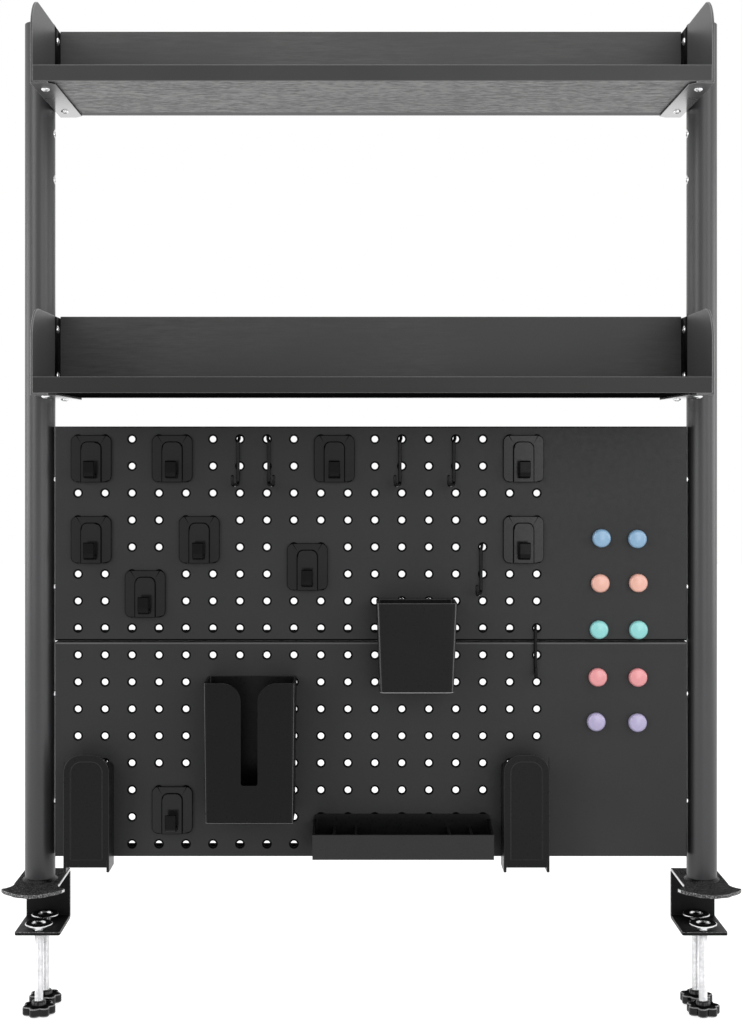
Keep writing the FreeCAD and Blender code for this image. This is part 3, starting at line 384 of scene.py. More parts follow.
class Form:
    """A mesh in the making: surfaces added one after another, each with a material number."""

    def __init__(self):
        self.vertices = []
        self.faces = []
        self.slots = []

    def add(self, vertices, faces, place=None, slot=0):
        first = len(self.vertices)
        matrix = place or Matrix.Identity(4)
        self.vertices += [matrix @ Vector(vertex) for vertex in vertices]
        self.faces += [tuple(first + index for index in face) for face in faces]
        self.slots += [slot] * len(faces)

    def skin(self, rings, place=None, slot=0, ends="open"):
        """Join rings of points, one after another. The ends are open, filled or joined."""
        count = len(rings[0])
        last = len(rings) - 1
        pairs = [(ring, ring + 1) for ring in range(last)]
        if ends == "joined":
            pairs.append((last, 0))
        faces = []
        for lower, upper in pairs:
            for index in range(count):
                following = (index + 1) % count
                faces.append((lower * count + index, lower * count + following,
                              upper * count + following, upper * count + index))
        if ends == "filled":
            faces.append(tuple(reversed(range(count))))
            faces.append(tuple(last * count + index for index in range(count)))
        self.add([point for ring in rings for point in ring], faces, place, slot)

    def lathe(self, profile, place=None, slot=0, segments=48, closed=False, marked=()):
        """Turn a profile of (radius, height); a radius may be a function of the angle.

        Each of the marked is a step of the profile and the material number of its faces.
        """
        turned = []
        for radius, height in profile:
            ring = []
            for index in range(segments):
                angle = 2 * math.pi * index / segments
                reach = radius(angle) if callable(radius) else radius
                ring.append((reach * math.cos(angle), reach * math.sin(angle), height))
            turned.append(ring)
        first = len(self.slots)
        self.skin(turned, place, slot, "joined" if closed else "filled")
        for step, number in marked:
            start = first + step * segments
            self.slots[start:start + segments] = [number] * segments

    def box(self, low, high):
        ring = [(low[0], low[1]), (high[0], low[1]), (high[0], high[1]), (low[0], high[1])]
        self.skin([[(*corner, level) for corner in ring] for level in (low[2], high[2])],
                  ends="filled")

    def tube(self, path, radius, place, segments=20):
        """A round wire along a path of points, with rounded ends."""
        points = [Vector(point) for point in path]
        normal = Vector((1, 0, 0))
        rings = []
        for index, point in enumerate(points):
            before = points[max(index - 1, 0)]
            after = points[min(index + 1, len(points) - 1)]
            along = (after - before).normalized()
            across = (normal - along * normal.dot(along)).normalized()
            third = along.cross(across)
            stops = [(radius, 0)]
            if index in (0, len(points) - 1):
                away = -1 if index == 0 else 1
                angles = [math.radians(turn) for turn in (0, 30, 60, 82)]
                stops = [(radius * math.cos(turn), away * radius * math.sin(turn))
                         for turn in angles]
                if index == 0:
                    stops.reverse()
            for reach, shift in stops:
                rings.append([
                    point + along * shift
                    + across * reach * math.cos(2 * math.pi * step / segments)
                    + third * reach * math.sin(2 * math.pi * step / segments)
                    for step in range(segments)
                ])
        self.skin(rings, place, ends="filled")

    def make(self, name, materials, body, slot=None, replaces=(), smooth=40):
        """The finished piece, riding on a body. Edges sharper than smooth degrees stay crisp."""
        mesh = bpy.data.meshes.new(name)
        mesh.from_pydata([tuple(vertex) for vertex in self.vertices], [], self.faces)
        for material in materials:
            mesh.materials.append(material)
        mesh.polygons.foreach_set("material_index", self.slots)
        work = bmesh.new()
        work.from_mesh(mesh)
        bmesh.ops.remove_doubles(work, verts=work.verts, dist=0.001 * MM)
        bmesh.ops.recalc_face_normals(work, faces=work.faces)
        limit = math.radians(smooth)
        for edge in work.edges:
            edge.smooth = len(edge.link_faces) != 2 or edge.calc_face_angle(0) < limit
        work.to_mesh(mesh)
        work.free()
        mesh.polygons.foreach_set("use_smooth", [True] * len(mesh.polygons))
        piece = bpy.data.objects.new(name, mesh)
        bpy.context.scene.collection.objects.link(piece)
        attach(piece, body)
        if replaces:
            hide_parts(*replaces)
        return piece


def turned_to(point, direction):
    """A placement whose Z axis points in a direction."""
    spin = Vector((0, 0, 1)).rotation_difference(Vector(direction)).to_matrix().to_4x4()
    return Matrix.Translation(Vector(point)) @ spin


def upright(centre):
    """A placement over a point of the ground plan."""
    return Matrix.Translation((centre.x, centre.y, 0))


def arc(centre, radius, start, stop, steps):
    """Points on an arc in a plane, between two angles in degrees."""
    turns = [math.radians(start + (stop - start) * step / steps) for step in range(steps + 1)]
    return [(centre[0] + radius * math.cos(turn), centre[1] + radius * math.sin(turn))
            for turn in turns]


def quarter(steps):
    """Angles from 0 to 90 degrees."""
    return [math.radians(90 / steps * step) for step in range(steps + 1)]


def offsets(radius, level, *points):
    """Profile points given in millimetres out from a radius and up from a level."""
    return [(radius + out * MM, level + up * MM) for out, up in points]


def rounded_edge(radius, top, edge, steps):
    """The profile of a quarter round from a rim up to a top."""
    return [(radius - edge + edge * math.cos(turn), top - edge + edge * math.sin(turn))
            for turn in quarter(steps)]


def finish_node(name, material, edge, width, others=(), segments=3, clamped=True, merged=True):
    """Give a CAD node its material, and small rounds in a material of their own.

    Each of the others is a material and a test of a face's normal and centre. Clamped keeps
    the rounds from reaching over small faces. Merged joins the triangles of a flat face into
    one, which leaves stray triangles on a face that has holes.
    """
    piece = nodes[name]
    mesh = piece.data
    mesh.materials.clear()
    mesh.materials.append(material)
    for number, (other, chosen) in enumerate(others, start=1):
        mesh.materials.append(other)
        for face in mesh.polygons:
            if chosen(face.normal, face.center):
                face.material_index = number
    if "custom_normal" in mesh.attributes:
        mesh.attributes.remove(mesh.attributes["custom_normal"])
    mesh.polygons.foreach_set("use_smooth", [True] * len(mesh.polygons))
    weld = piece.modifiers.new("weld", "WELD")
    weld.merge_threshold = 0.002 * MM
    if merged:
        flat = piece.modifiers.new("flat", "DECIMATE")
        flat.decimate_type = "DISSOLVE"
        flat.angle_limit = math.radians(0.5)
        flat.delimit = {"MATERIAL"}
    rounds = piece.modifiers.new("rounds", "BEVEL")
    rounds.width = width
    rounds.segments = segments
    rounds.limit_method = "ANGLE"
    rounds.angle_limit = math.radians(35)
    rounds.miter_outer = "MITER_ARC"
    rounds.use_clamp_overlap = clamped
    mesh.materials.append(edge)
    rounds.material = len(mesh.materials) - 1
    normals = piece.modifiers.new("normals", "WEIGHTED_NORMAL")
    normals.keep_sharp = True


# ---------------------------------------------------------------- posts

POST_WALL = 1.5 * MM
POST_RIM = 0.35 * MM
POST_SEGMENTS = 96
CAP_SUNK = 1.6 * MM

FIXING_HEIGHT = 20 * MM
FIXING_PITCH = 43 * MM
SPARE_DROP = 86 * MM
PANEL_FIXING = 49.25 * MM
DRILL_RADIUS = 3.6 * MM
DRILL_INSET = 6 * MM
DRILL_LENGTH = 9 * MM


def shelf_fixings(shelf):
    """Heights of the two screws that hold a shelf's side plate."""
    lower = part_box(f"{shelf}_shelf_board")[0].z + FIXING_HEIGHT
    return [lower, lower + FIXING_PITCH]


def shelf_nuts():
    """Heights of a post's nuts for the shelves, with the spare pair that nothing hangs on."""
    top = shelf_fixings("top")
    return top + shelf_fixings("middle") + [height - SPARE_DROP for height in top]


def panel_fixings():
    """Heights of the screws that hold the two panels."""
    heights = []
    for node in ("lower_panel", "upper_panel"):
        low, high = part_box(node)
        heights += [low.z + PANEL_FIXING, high.z - PANEL_FIXING]
    return heights


def cut(piece, cutters):
    """Cut small forms out of a piece for good."""
    tool = cutters.make(f"{piece.name}_cutter", [POST], ROOT)
    step = piece.modifiers.new("cut", "BOOLEAN")
    step.operation = "DIFFERENCE"
    step.solver = "EXACT"
    step.object = tool
    bpy.context.view_layer.update()
    graph = bpy.context.evaluated_depsgraph_get()
    result = bpy.data.meshes.new_from_object(piece.evaluated_get(graph))
    piece.modifiers.remove(step)
    old = piece.data
    piece.data = result
    bpy.data.meshes.remove(old)
    bpy.data.objects.remove(tool)


def make_post(name, side):
    """A tube, drilled on its inner side for every rivet nut, and its weld."""
    low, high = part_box(f"{name}_post")
    centre = (low + high) / 2
    radius = (high.x - low.x) / 2
    bore, flat = radius - POST_WALL, radius - POST_RIM
    profile = [(bore, low.z), (flat, low.z), (radius, low.z + POST_RIM),
               (radius, high.z - POST_RIM), (flat, high.z), (bore, high.z)]
    tube = Form()
    tube.lathe(profile, upright(centre), segments=POST_SEGMENTS, closed=True)
    piece = tube.make(f"{name}_post_tube", [POST], ROOT, "post_steel", [f"{name}_post"])
    drills = Form()
    for height in shelf_nuts() + panel_fixings():
        start = (centre.x - side * (radius - DRILL_INSET), centre.y, height)
        drills.lathe([(DRILL_RADIUS, 0), (DRILL_RADIUS, DRILL_LENGTH)],
                     turned_to(start, (-side, 0, 0)), segments=24)
    cut(piece, drills)
    make_weld(name, centre, radius, low.z)


def make_weld(name, centre, radius, level):
    """The uneven bead where a post is welded to its base plate."""
    ripples, waves = 46, 5
    sunk, top = radius - 0.3 * MM, level + 2.3 * MM

    def swell(out, ripple):
        def reach(angle):
            swollen = radius + out * MM + ripple * MM * abs(math.sin(ripples / 2 * angle))
            return swollen + 0.12 * MM * math.sin(waves * angle)
        return reach

    profile = [(sunk, level), (swell(2.3, 0.3), level), (swell(1.9, 0.35), level + 0.7 * MM),
               (swell(1.0, 0.3), level + 1.4 * MM), (radius, top), (sunk, top)]
    bead = Form()
    bead.lathe(profile, upright(centre), segments=184, closed=True)
    bead.make(f"{name}_weld_bead", [WELD], ROOT, "clamp_steel")


def make_caps():
    """The plugs in the tops of the posts, slightly domed."""
    edge, rise, plug_depth = 1.2 * MM, 0.3 * MM, 9 * MM
    form = Form()
    for name in SIDES:
        low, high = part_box(f"{name}_post")
        centre = (low + high) / 2
        radius = (high.x - low.x) / 2
        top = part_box("post_caps")[1].z - CAP_SUNK
        dome = [(radius * share, top - rise * share ** 2) for share in (0.75, 0.5, 0.25, 0.05)]
        plug = radius - POST_WALL - 0.05 * MM
        profile = [(plug, high.z - plug_depth), (plug, high.z), (radius, high.z + 0.05 * MM),
                   *rounded_edge(radius, top - rise, edge, 6), *dome]
        form.lathe(profile, upright(centre), segments=POST_SEGMENTS)
    form.make("post_cap_pair", [CAP], ROOT, "cap_plastic", ["post_caps"])


# ---------------------------------------------------------------- clamps

BRACKET_SHEET = 3.5 * MM
CUT_FRONT = -16 * MM


def finish_bracket(name, side):
    """The clamp's bent steel. Its base plate is coarse on top, with a rough cut front edge that
    carries a painted highlight, and a painted glint along its inner edge."""
    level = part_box(f"{name}_post")[0].z - BRACKET_SHEET
    coarse = (COARSE, lambda normal, centre: normal.z > 0.9 and centre.z > level)
    rough = (ROUGH_EDGE_HIGHLIGHT, lambda normal, centre: abs(normal.z) < 0.3 and normal.y < 0.2
             and centre.z > level and centre.y < CUT_FRONT)
    glint = (INNER_EDGE_GLINT, lambda normal, centre: -side * normal.x > 0.9 and centre.z > level)
    finish_node(f"{name}_clamp_bracket", CLAMP, CLAMP_EDGE_HIGHLIGHT, 0.45 * MM, [coarse, rough, glint])


def make_rod(label):
    """A rod with a real rolled thread, and ends narrower than its root."""
    low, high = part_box(f"{label}_rod")
    centre = (low + high) / 2
    length = high.z - low.z
    radius, pitch, depth = 3.98 * MM, 1.25 * MM, 0.34 * MM
    steps_per_turn = 6
    steps = int(length / pitch * steps_per_turn)

    def thread(height):
        def reach(angle):
            turned = 2 * math.pi * height / pitch - angle
            return radius - depth * (0.5 - 0.5 * math.cos(turned))
        return reach

    heights = [low.z + length * step / steps for step in range(steps + 1)]
    end = radius - 2.5 * depth
    profile = [(end, heights[0]), *((thread(height), height) for height in heights[1:-1]),
               (end, heights[-1])]
    form = Form()
    form.lathe(profile, upright(centre), segments=40)
    form.make(f"{label}_threaded_rod", [ROD], f"{label}_screw", "rod_steel", [f"{label}_rod"],
              smooth=75)


def make_pad(label):
    """A pressed steel dish with a rubber face, and a bright dimple about its swivel's end."""
    low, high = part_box(f"{label}_pad")
    place = upright((low + high) / 2)
    radius = (high.x - low.x) / 2
    top = high.z
    neck = offsets(0, low.z, (4.1, 0), (5.5, 0), (6, 0.4), (6, 2), (7.2, 2.8))
    rim = offsets(radius, top, (-0.8, -2.5), (-0.2, -2.2), (0, -1.8), (0, -1.2), (-0.3, -0.9),
                  (-0.7, -0.8), (-1.1, -1), (-1.2, -1.7))
    dish = Form()
    dish.lathe(neck + rim + offsets(0, top, (4.1, -1.7)), place, segments=64, closed=True)
    dish.make(f"{label}_dish", [PAD], f"{label}_pad", "pad_steel", [f"{label}_pad"])

    outside = offsets(radius, top, (-1.2, -1.7), (-1.2, -0.3), (-1.5, 0))
    inside = offsets(0, top, (7, 0), (6.6, -0.3), (6.6, -1.7))
    face = Form()
    face.lathe(outside + inside, place, segments=64, closed=True)
    face.make(f"{label}_rubber_face", [RUBBER], f"{label}_pad", "pad_steel")

    dimple = Form()
    dimple.lathe(offsets(0, top, (4.05, -3), (6.55, -3), (6.55, -0.35), (6.3, -0.2), (5.9, -0.6),
                         (5.4, -1.4), (4.9, -2), (4.05, -2.2)), place, closed=True)
    dimple.make(f"{label}_dimple", [BRIGHT], f"{label}_pad", "pad_steel")

    end = Form()
    end.lathe(offsets(0, top, (4, -3), (4, -1.9), (3.7, -1.2), (2.8, -0.7), (1.5, -0.5),
                      (0.2, -0.45)), place, segments=40)
    end.make(f"{label}_swivel_end", [KNOB], f"{label}_pad", "pad_steel")


def make_knob(label):
    """A star knob: seven soft lobes, rounded rims with painted highlights, and a hub."""
    low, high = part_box(f"{label}_knob")
    rod_low, rod_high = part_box(f"{label}_rod")
    lobes, reach, valley, rim = 7, 15.4 * MM, 3.1 * MM, 1.3 * MM
    level = low.z + 8 * MM

    def star(inset):
        def outline(angle):
            wave = 0.5 + 0.5 * math.cos(lobes * angle)
            return reach - inset - valley * (1 - wave ** 0.6)
        return outline

    base = offsets(0, low.z, (4.1, 0.7), (5.4, 0.7), (5.8, 0.2))
    base.append((star(rim + 1.2 * MM), low.z))
    under = [(star(rim * (1 - math.sin(turn))), low.z + rim * (1 - math.cos(turn)))
             for turn in quarter(4)]
    over = [(star(rim * (1 - math.cos(turn))), level - rim * (1 - math.sin(turn)))
            for turn in quarter(4)]
    dip = offsets(0, level, (11.6, -0.1), (11.2, -0.5), (10.4, -1.3), (8.4, -1.7), (7.2, -1.2),
                  (6.7, 0.6))
    hub = offsets(0, high.z, (6.4, -0.9), (5.9, -0.2), (5.5, 0), (4.1, 0))

    rim_highlight_slot, top_slot = 1, 2
    lower_rim = len(base) + 1
    top = len(base + under + over) - 1
    rim_steps = [*range(top - 3, top), *range(lower_rim, lower_rim + 3)]
    marked = [(step, rim_highlight_slot) for step in rim_steps]
    marked += [(step, top_slot) for step in range(top, top + len(dip))]
    form = Form()
    form.lathe(base + under + over + dip + hub, upright((rod_low + rod_high) / 2), segments=140,
               closed=True, marked=marked)
    form.make(f"{label}_star_knob", [KNOB, KNOB_RIM_HIGHLIGHT, KNOB_TOP], f"{label}_screw", "knob_plastic",
              [f"{label}_knob"])


# ---------------------------------------------------------------- shelves

PLATE_SHEET = 2 * MM
SHADE_STRIP_FRONT = -12.5 * MM
SHADE_STRIP_GAP = 0.05 * MM


def tab_edge_test(shelf, side):
    """True for the faces of a side plate's tab that look to the middle of the board, which get
    painted shade.
    """
    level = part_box(f"{shelf}_shelf_board")[0].z
    return lambda normal, centre: -side * normal.x > 0.3 and centre.z < level


def make_painted_shade_strip(shelf, name, side):
    """A thin black strip of painted shade on a side plate, between its post and its back board."""
    low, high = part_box(f"{shelf}_shelf_{name}_side_plate")
    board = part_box(f"{shelf}_shelf_board")
    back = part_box(f"{shelf}_back_board")
    face = (high.x if side > 0 else low.x) - side * PLATE_SHEET
    left, right = sorted((face - side * 0.3 * MM, face + side * 0.2 * MM))
    strip = Form()
    strip.box((left, SHADE_STRIP_FRONT, board[1].z + SHADE_STRIP_GAP),
              (right, back[0].y - SHADE_STRIP_GAP, high.z - 0.5 * MM))
    strip.make(f"{shelf}_{name}_painted_shade_strip", [PAINTED_SHADE], ROOT, "plate_steel")


def finish_shelf(shelf):
    """A shelf's two boards, and the side plates that carry them."""
    front = (BANDS_BY_LIGHT[shelf], lambda normal, centre: normal.y < -0.9)
    above = (BANDS_BY_LIGHT[shelf], lambda normal, centre: normal.z > 0.9)
    below = (UNDERSIDES_BY_LIGHT[shelf], lambda normal, centre: normal.z < -0.9)
    tab_below = (TAB, lambda normal, centre: normal.z < -0.9)
    finish_node(f"{shelf}_shelf_board", BOARD, BOARD_EDGE_HIGHLIGHT, 0.5 * MM, [front, below])
    finish_node(f"{shelf}_back_board", BACKS_BY_LIGHT[shelf], BOARD_EDGE_HIGHLIGHT, 0.5 * MM, [above])
    for name, side in SIDES.items():
        shaded_tab_edge = (PAINTED_SHADE, tab_edge_test(shelf, side))
        finish_node(f"{shelf}_shelf_{name}_side_plate", PLATE, PLATE_EDGE_HIGHLIGHT, 0.5 * MM,
                    [tab_below, shaded_tab_edge])
        make_painted_shade_strip(shelf, name, side)


# ---------------------------------------------------------------- panels

PANEL_INSET = 0.1 * MM
HOLE_RADIUS = 2.95 * MM
HOLE_RIM = 1.6 * MM
HOLE_DROP = 0.3 * MM
HOLE_SEGMENTS = 32
HOLE_PITCH = 25 * MM
FIRST_HOLE_X = -271.5 * MM
FIRST_HOLE_RISE = 11.75 * MM
COLUMNS, ROWS = 18, 8
SHEET = 1.2 * MM
FOLD = 1.6 * MM
LIP = 8 * MM
BOTTOM_SIDE, TOP_SIDE = 0, 2
HOLE_SHADE_SLOT, LIT_FOLD_SLOT, SEAM_SHADE_SLOT = 1, 2, 3
INSIDE_OUTLINE = 1


def hole_centres(low):
    return [(FIRST_HOLE_X + column * HOLE_PITCH, low.z + FIRST_HOLE_RISE + row * HOLE_PITCH)
            for row in range(ROWS) for column in range(COLUMNS)]


def ring_of(centre, radius):
    turns = [2 * math.pi * step / HOLE_SEGMENTS for step in range(HOLE_SEGMENTS)]
    return [(centre[0] + radius * math.cos(turn), centre[1] + radius * math.sin(turn))
            for turn in turns]


def near(point, centres):
    """The centres within a hole's pitch of a point."""
    return [centre for centre in centres
            if abs(centre[0] - point.x) < HOLE_PITCH and abs(centre[1] - point.y) < HOLE_PITCH]


def sheet_face(form, corners, centres, radius, level):
    """A flat face, at one depth, with a round hole about each centre."""
    points = [Vector(corner) for corner in corners]
    edges = [(index, (index + 1) % 4) for index in range(4)]
    for centre in centres:
        first = len(points)
        points += [Vector(point) for point in ring_of(centre, radius)]
        edges += [(first + step, first + (step + 1) % HOLE_SEGMENTS)
                  for step in range(HOLE_SEGMENTS)]
    flat, _, faces, _, _, _ = delaunay_2d_cdt(points, edges, [], INSIDE_OUTLINE, 1e-7)

    def in_hole(face):
        middle = sum((flat[index] for index in face), Vector((0, 0))) / len(face)
        return any((middle - Vector(centre)).length < radius for centre in near(middle, centres))

    form.add([(point.x, level, point.y) for point in flat],
             [face for face in faces if not in_hole(face)])


def make_panel(node):
    """A sheet folded back on four sides, with punched holes whose front rims are rounded and, with
    their walls, painted dark as shade.
    """
    low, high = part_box(node)
    low.x += PANEL_INSET
    high.x -= PANEL_INSET
    depth = high.y - low.y
    soft = 0.2 * MM

    def loop(inset, depth):
        left, right = low.x + inset, high.x - inset
        bottom, top = low.z + inset, high.z - inset
        level = low.y + depth
        return [(left, level, bottom), (right, level, bottom), (right, level, top),
                (left, level, top)]

    bend = [loop(FOLD * (1 - math.sin(turn)), FOLD * (1 - math.cos(turn))) for turn in quarter(5)]
    rear = [loop(0, depth - soft), loop(soft, depth), loop(SHEET - soft, depth),
            loop(SHEET, depth - soft)]
    inside = loop(SHEET, SHEET)
    form = Form()
    form.skin([*bend, *rear, inside])
    upper = node == "upper_panel"
    seam_side = BOTTOM_SIDE if upper else TOP_SIDE
    # At the seam between the panels, the lower panel's front fold gets a painted highlight and the
    # other faces painted shade.
    for step in range(len(bend + rear) - 1):
        pale = not upper and step < len(bend) - 1
        form.slots[step * 4 + seam_side] = LIT_FOLD_SLOT if pale else SEAM_SHADE_SLOT

    centres = hole_centres(low)
    for corners, radius, level in ((bend[0], HOLE_RADIUS + HOLE_RIM, low.y),
                                   (inside, HOLE_RADIUS, low.y + SHEET)):
        sheet_face(form, [(x, z) for x, _, z in corners], centres, radius, level)
    wall = [(HOLE_RIM * (1 - math.sin(turn)), HOLE_DROP * (1 - math.cos(turn)))
            for turn in quarter(4)]
    wall.append((0, SHEET))
    for centre in centres:
        form.skin([[(x, low.y + drop, z) for x, z in ring_of(centre, HOLE_RADIUS + extra)]
                   for extra, drop in wall], slot=HOLE_SHADE_SLOT)
    for bottom in (low.z + 0.05 * MM, high.z - LIP):
        form.box((low.x + SHEET, high.y - SHEET, bottom),
                 (high.x - SHEET, high.y - 0.01 * MM, bottom + LIP - 0.05 * MM))
    piece = form.make(f"{node}_sheet", [PANEL, HOLE_EDGE_SHADE, LIT_FOLD_EDGE, PAINTED_SHADE], ROOT, "panel_steel",
                      [node], smooth=50)
    piece.modifiers.new("normals", "WEIGHTED_NORMAL").keep_sharp = True


# ---------------------------------------------------------------- screws and rivet nuts

TAB_SCREW_PLACES = (-97 * MM, 1 * MM)
TAB_SCREW_INSET = 9 * MM
NUT_RADIUS = 4.4 * MM
NUT_BORE = 2.1 * MM
NUT_FLANGE = 1 * MM
NUT_SOFT = 0.25 * MM
DARK_SLOT = 1


def button_head(form, point, direction):
    """A button head standing on a surface, with a hexagon socket, its dark floor and a shank."""
    radius, height, socket = 3.75 * MM, 2 * MM, 1.6 * MM
    shank, shank_length = 1.9 * MM, 6 * MM

    def hexagon(angle):
        turn = (angle + math.pi / 6) % (math.pi / 3) - math.pi / 6
        return socket / math.cos(turn)

    turns = [math.radians(step) for step in (0, 14, 28, 42, 54, 63)]
    crown = [(radius * math.cos(turn), height * (0.12 + 0.88 * math.sin(turn))) for turn in turns]
    profile = [(shank, -shank_length), (shank, 0), (radius, 0), *crown, (socket * 1.22, height),
               (hexagon, height - 0.12 * MM), (hexagon, height - 1 * MM)]
    place = turned_to(point, direction)
    form.lathe(profile, place, segments=36)
    floor = socket * 0.99
    form.lathe([(floor, height - 0.98 * MM), (floor, height - 0.75 * MM)], place, slot=DARK_SLOT,
               segments=12)


def make_screws():
    """The screws through the side plates, the tabs and the panels' folded sides."""
    form = Form()
    for name, side in SIDES.items():
        for shelf in SHELVES:
            low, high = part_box(f"{shelf}_shelf_{name}_side_plate")
            face = high.x if side > 0 else low.x
            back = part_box(f"{shelf}_back_board")
            behind = (back[0].y + back[1].y) / 2
            for height in shelf_fixings(shelf):
                button_head(form, (face - side * PLATE_SHEET, 0, height), (-side, 0, 0))
                button_head(form, (face, behind, height), (side, 0, 0))
            for along in TAB_SCREW_PLACES:
                button_head(form, (face - side * TAB_SCREW_INSET, along, low.z), (0, 0, -1))
        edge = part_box("upper_panel")[1 if side > 0 else 0].x - side * PANEL_INSET
        for height in panel_fixings():
            button_head(form, (edge - side * SHEET, 0, height), (-side, 0, 0))
    form.make("button_head_screws", [BRIGHT, SOCKET], ROOT, "bright_steel", ["screws"])


def make_rivet_nuts():
    """Tubular nuts whose bores show fine thread rings."""
    turns, pitch, groove = 12, 0.7 * MM, 0.22 * MM
    bore = []
    for turn in range(turns):
        depth = -0.5 * MM - turn * pitch
        bore += [(NUT_BORE, depth), (NUT_BORE + groove, depth - pitch / 2)]
    sleeve, length, mouth = 3.45 * MM, 9.4 * MM, NUT_BORE + 0.45 * MM
    profile = [(sleeve, -length), (sleeve, -NUT_FLANGE), (NUT_RADIUS, -NUT_FLANGE),
               (NUT_RADIUS, -NUT_SOFT), (NUT_RADIUS - NUT_SOFT, 0), (mouth, 0), *bore]
    panel_gap = 2 * MM + PANEL_INSET
    form = Form()
    for name, side in SIDES.items():
        low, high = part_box(f"{name}_post")
        face = high.x if side < 0 else low.x
        stations = [(face, height) for height in shelf_nuts()]
        stations += [(face - side * panel_gap, height) for height in panel_fixings()]
        for across, height in stations:
            form.lathe(profile, turned_to((across, 0, height), (-side, 0, 0)), segments=32,
                       closed=True)
    form.make("rivet_nut_set", [BRIGHT], ROOT, "bright_steel", ["rivet_nuts"])


# ---------------------------------------------------------------- hooks, holders and magnets

WIRE_RADIUS = 1.5 * MM
HOOK_BOSS = 13.5 * MM
TRAY_WALL = 4 * MM
STEEL_SLOT = 1
BIN_SLOT_HALF = 16 * MM
BIN_SLOT_RISE = 8 * MM


def wire_path():
    """The wire's centre line in its own plane, from behind the sheet to the upturned tip."""
    step, bend, behind = 2.6 * MM, 4 * MM, 8 * MM
    bottom, front, tip = -41.35 * MM, -27.6 * MM, 8 * MM
    steps = 8
    line = [(step, behind), *arc((0, step), step, 0, -90, steps)]
    line += arc((0, -step), step, 90, 180, steps)[1:]
    line += arc((-step - bend, bottom + bend), bend, 0, -90, steps)
    line += arc((front + bend, bottom + bend), bend, 270, 180, steps)
    line += [(front, bottom + tip)]
    return line


def make_wire_hook(number, joint):
    """A bent wire that hangs behind the sheet and turns about its joint's axis."""
    body = f"wire_hook_{number}"
    axis = Vector(joint["axis"])
    turn = math.atan2(-axis.y, -axis.x)
    place = Matrix.Translation(Vector(joint["pos_m"])) @ Matrix.Rotation(turn, 4, "Z")
    form = Form()
    form.tube([(0, along, up) for along, up in wire_path()], WIRE_RADIUS, place)
    form.make(f"{body}_wire", [WIRE], body, "wire_steel", [body])


def finish_plate_hook(node):
    """A moulded hook whose arm is painted darker than the boss behind it, as painted shade, and
    whose rounds are painted dark outlines.
    """
    boss_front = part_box(node)[0].y + HOOK_BOSS
    arm = (HOOK_ARM_SHADE, lambda normal, centre: centre.y < boss_front)
    finish_node(node, HOOK, HOOK_EDGE_SHADE, 0.5 * MM, [arm], 4, clamped=False, merged=False)


def finish_holders():
    """The moulded cup, bin, tray and headphone hangers."""
    tray_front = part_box("pencil_tray")[0].y + TRAY_WALL
    bin_low, bin_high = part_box("slotted_bin")
    slot = ((bin_low.x + bin_high.x) / 2, BIN_SLOT_HALF, bin_low.z + BIN_SLOT_RISE)
    # The bin's rounded edges get painted highlights, and the edges of its slot painted shade.
    bin_edge_highlight = edge_highlight("bin_edge_highlight", grey(0.006), grey(0.42), slot)
    # The front corners get a painted highlight.
    corner = (CORNER_HIGHLIGHT, lambda normal, centre: abs(normal.x) > 0.6 and normal.y < -0.5)
    face = (TRAY, lambda normal, centre: normal.y < -0.5 and centre.y < tray_front)
    finish_node("pen_cup", HOLDER, HOLDER_EDGE_HIGHLIGHT, 0.8 * MM, [corner], 4)
    finish_node("slotted_bin", BIN, bin_edge_highlight, 0.8 * MM, [corner], 4)
    finish_node("pencil_tray", BIN, HOLDER_EDGE_HIGHLIGHT, 0.8 * MM, [face], 4)
    for name in SIDES:
        finish_node(f"{name}_headphone_hanger", HOLDER, HANGER_EDGE_HIGHLIGHT, 0.5 * MM, segments=4,
                    clamped=False)


def make_magnet(node):
    """A domed cap on a steel disc, lying on the panel."""
    low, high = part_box(node)
    centre = (low + high) / 2
    radius = (high.x - low.x) / 2
    height = high.y - low.y
    steel, edge, rise = 1.2 * MM, 3 * MM, 0.7 * MM
    dome = [((radius - edge) * share, height - rise * share ** 2)
            for share in (0.8, 0.6, 0.4, 0.2, 0.04)]
    profile = [(radius - 0.5 * MM, steel * 0.4), (radius, steel * 0.8),
               *rounded_edge(radius, height - rise, edge, 9), *dome]
    disc = radius - 1.2 * MM
    place = turned_to((centre.x, high.y, centre.z), (0, -1, 0))
    form = Form()
    form.lathe(profile, place, segments=64)
    form.lathe([(disc, 0), (disc, steel)], place, slot=STEEL_SLOT)
    colour = node.split("_")[1]
    form.make(f"{node}_cap", [MAGNETS[colour], BRIGHT], node, f"magnet_{colour}", [node])


# ---------------------------------------------------------------- the whole object

for name, side in SIDES.items():
    make_post(name, side)
    finish_bracket(name, side)
    for end in ("front", "rear"):
        label = f"{name}_{end}_clamp"
        make_pad(label)
        make_rod(label)
        make_knob(label)
make_caps()
for node in ("upper_panel", "lower_panel"):
    make_panel(node)
for shelf in SHELVES:
    finish_shelf(shelf)
make_screws()
make_rivet_nuts()
for node in sorted(nodes):
    if node.startswith("plate_hook_"):
        finish_plate_hook(node)
finish_holders()
for joint in frame["joints"]:
    if joint["name"].startswith("wire_hook_"):
        make_wire_hook(joint["name"].split("_")[2], joint)
for node in sorted(nodes):
    if node.startswith("magnet_"):
        make_magnet(node)


# ---------------------------------------------------------------- room, lights and camera

WORLD_LIGHT = 0.5
FLOOR_GAP = 1 * MM
FLOOR_REACH = 6.0
FLOOR_DEPTH = 0.01
FLOOR_GREY = 0.5
FLOOR_GLOW = 0.8


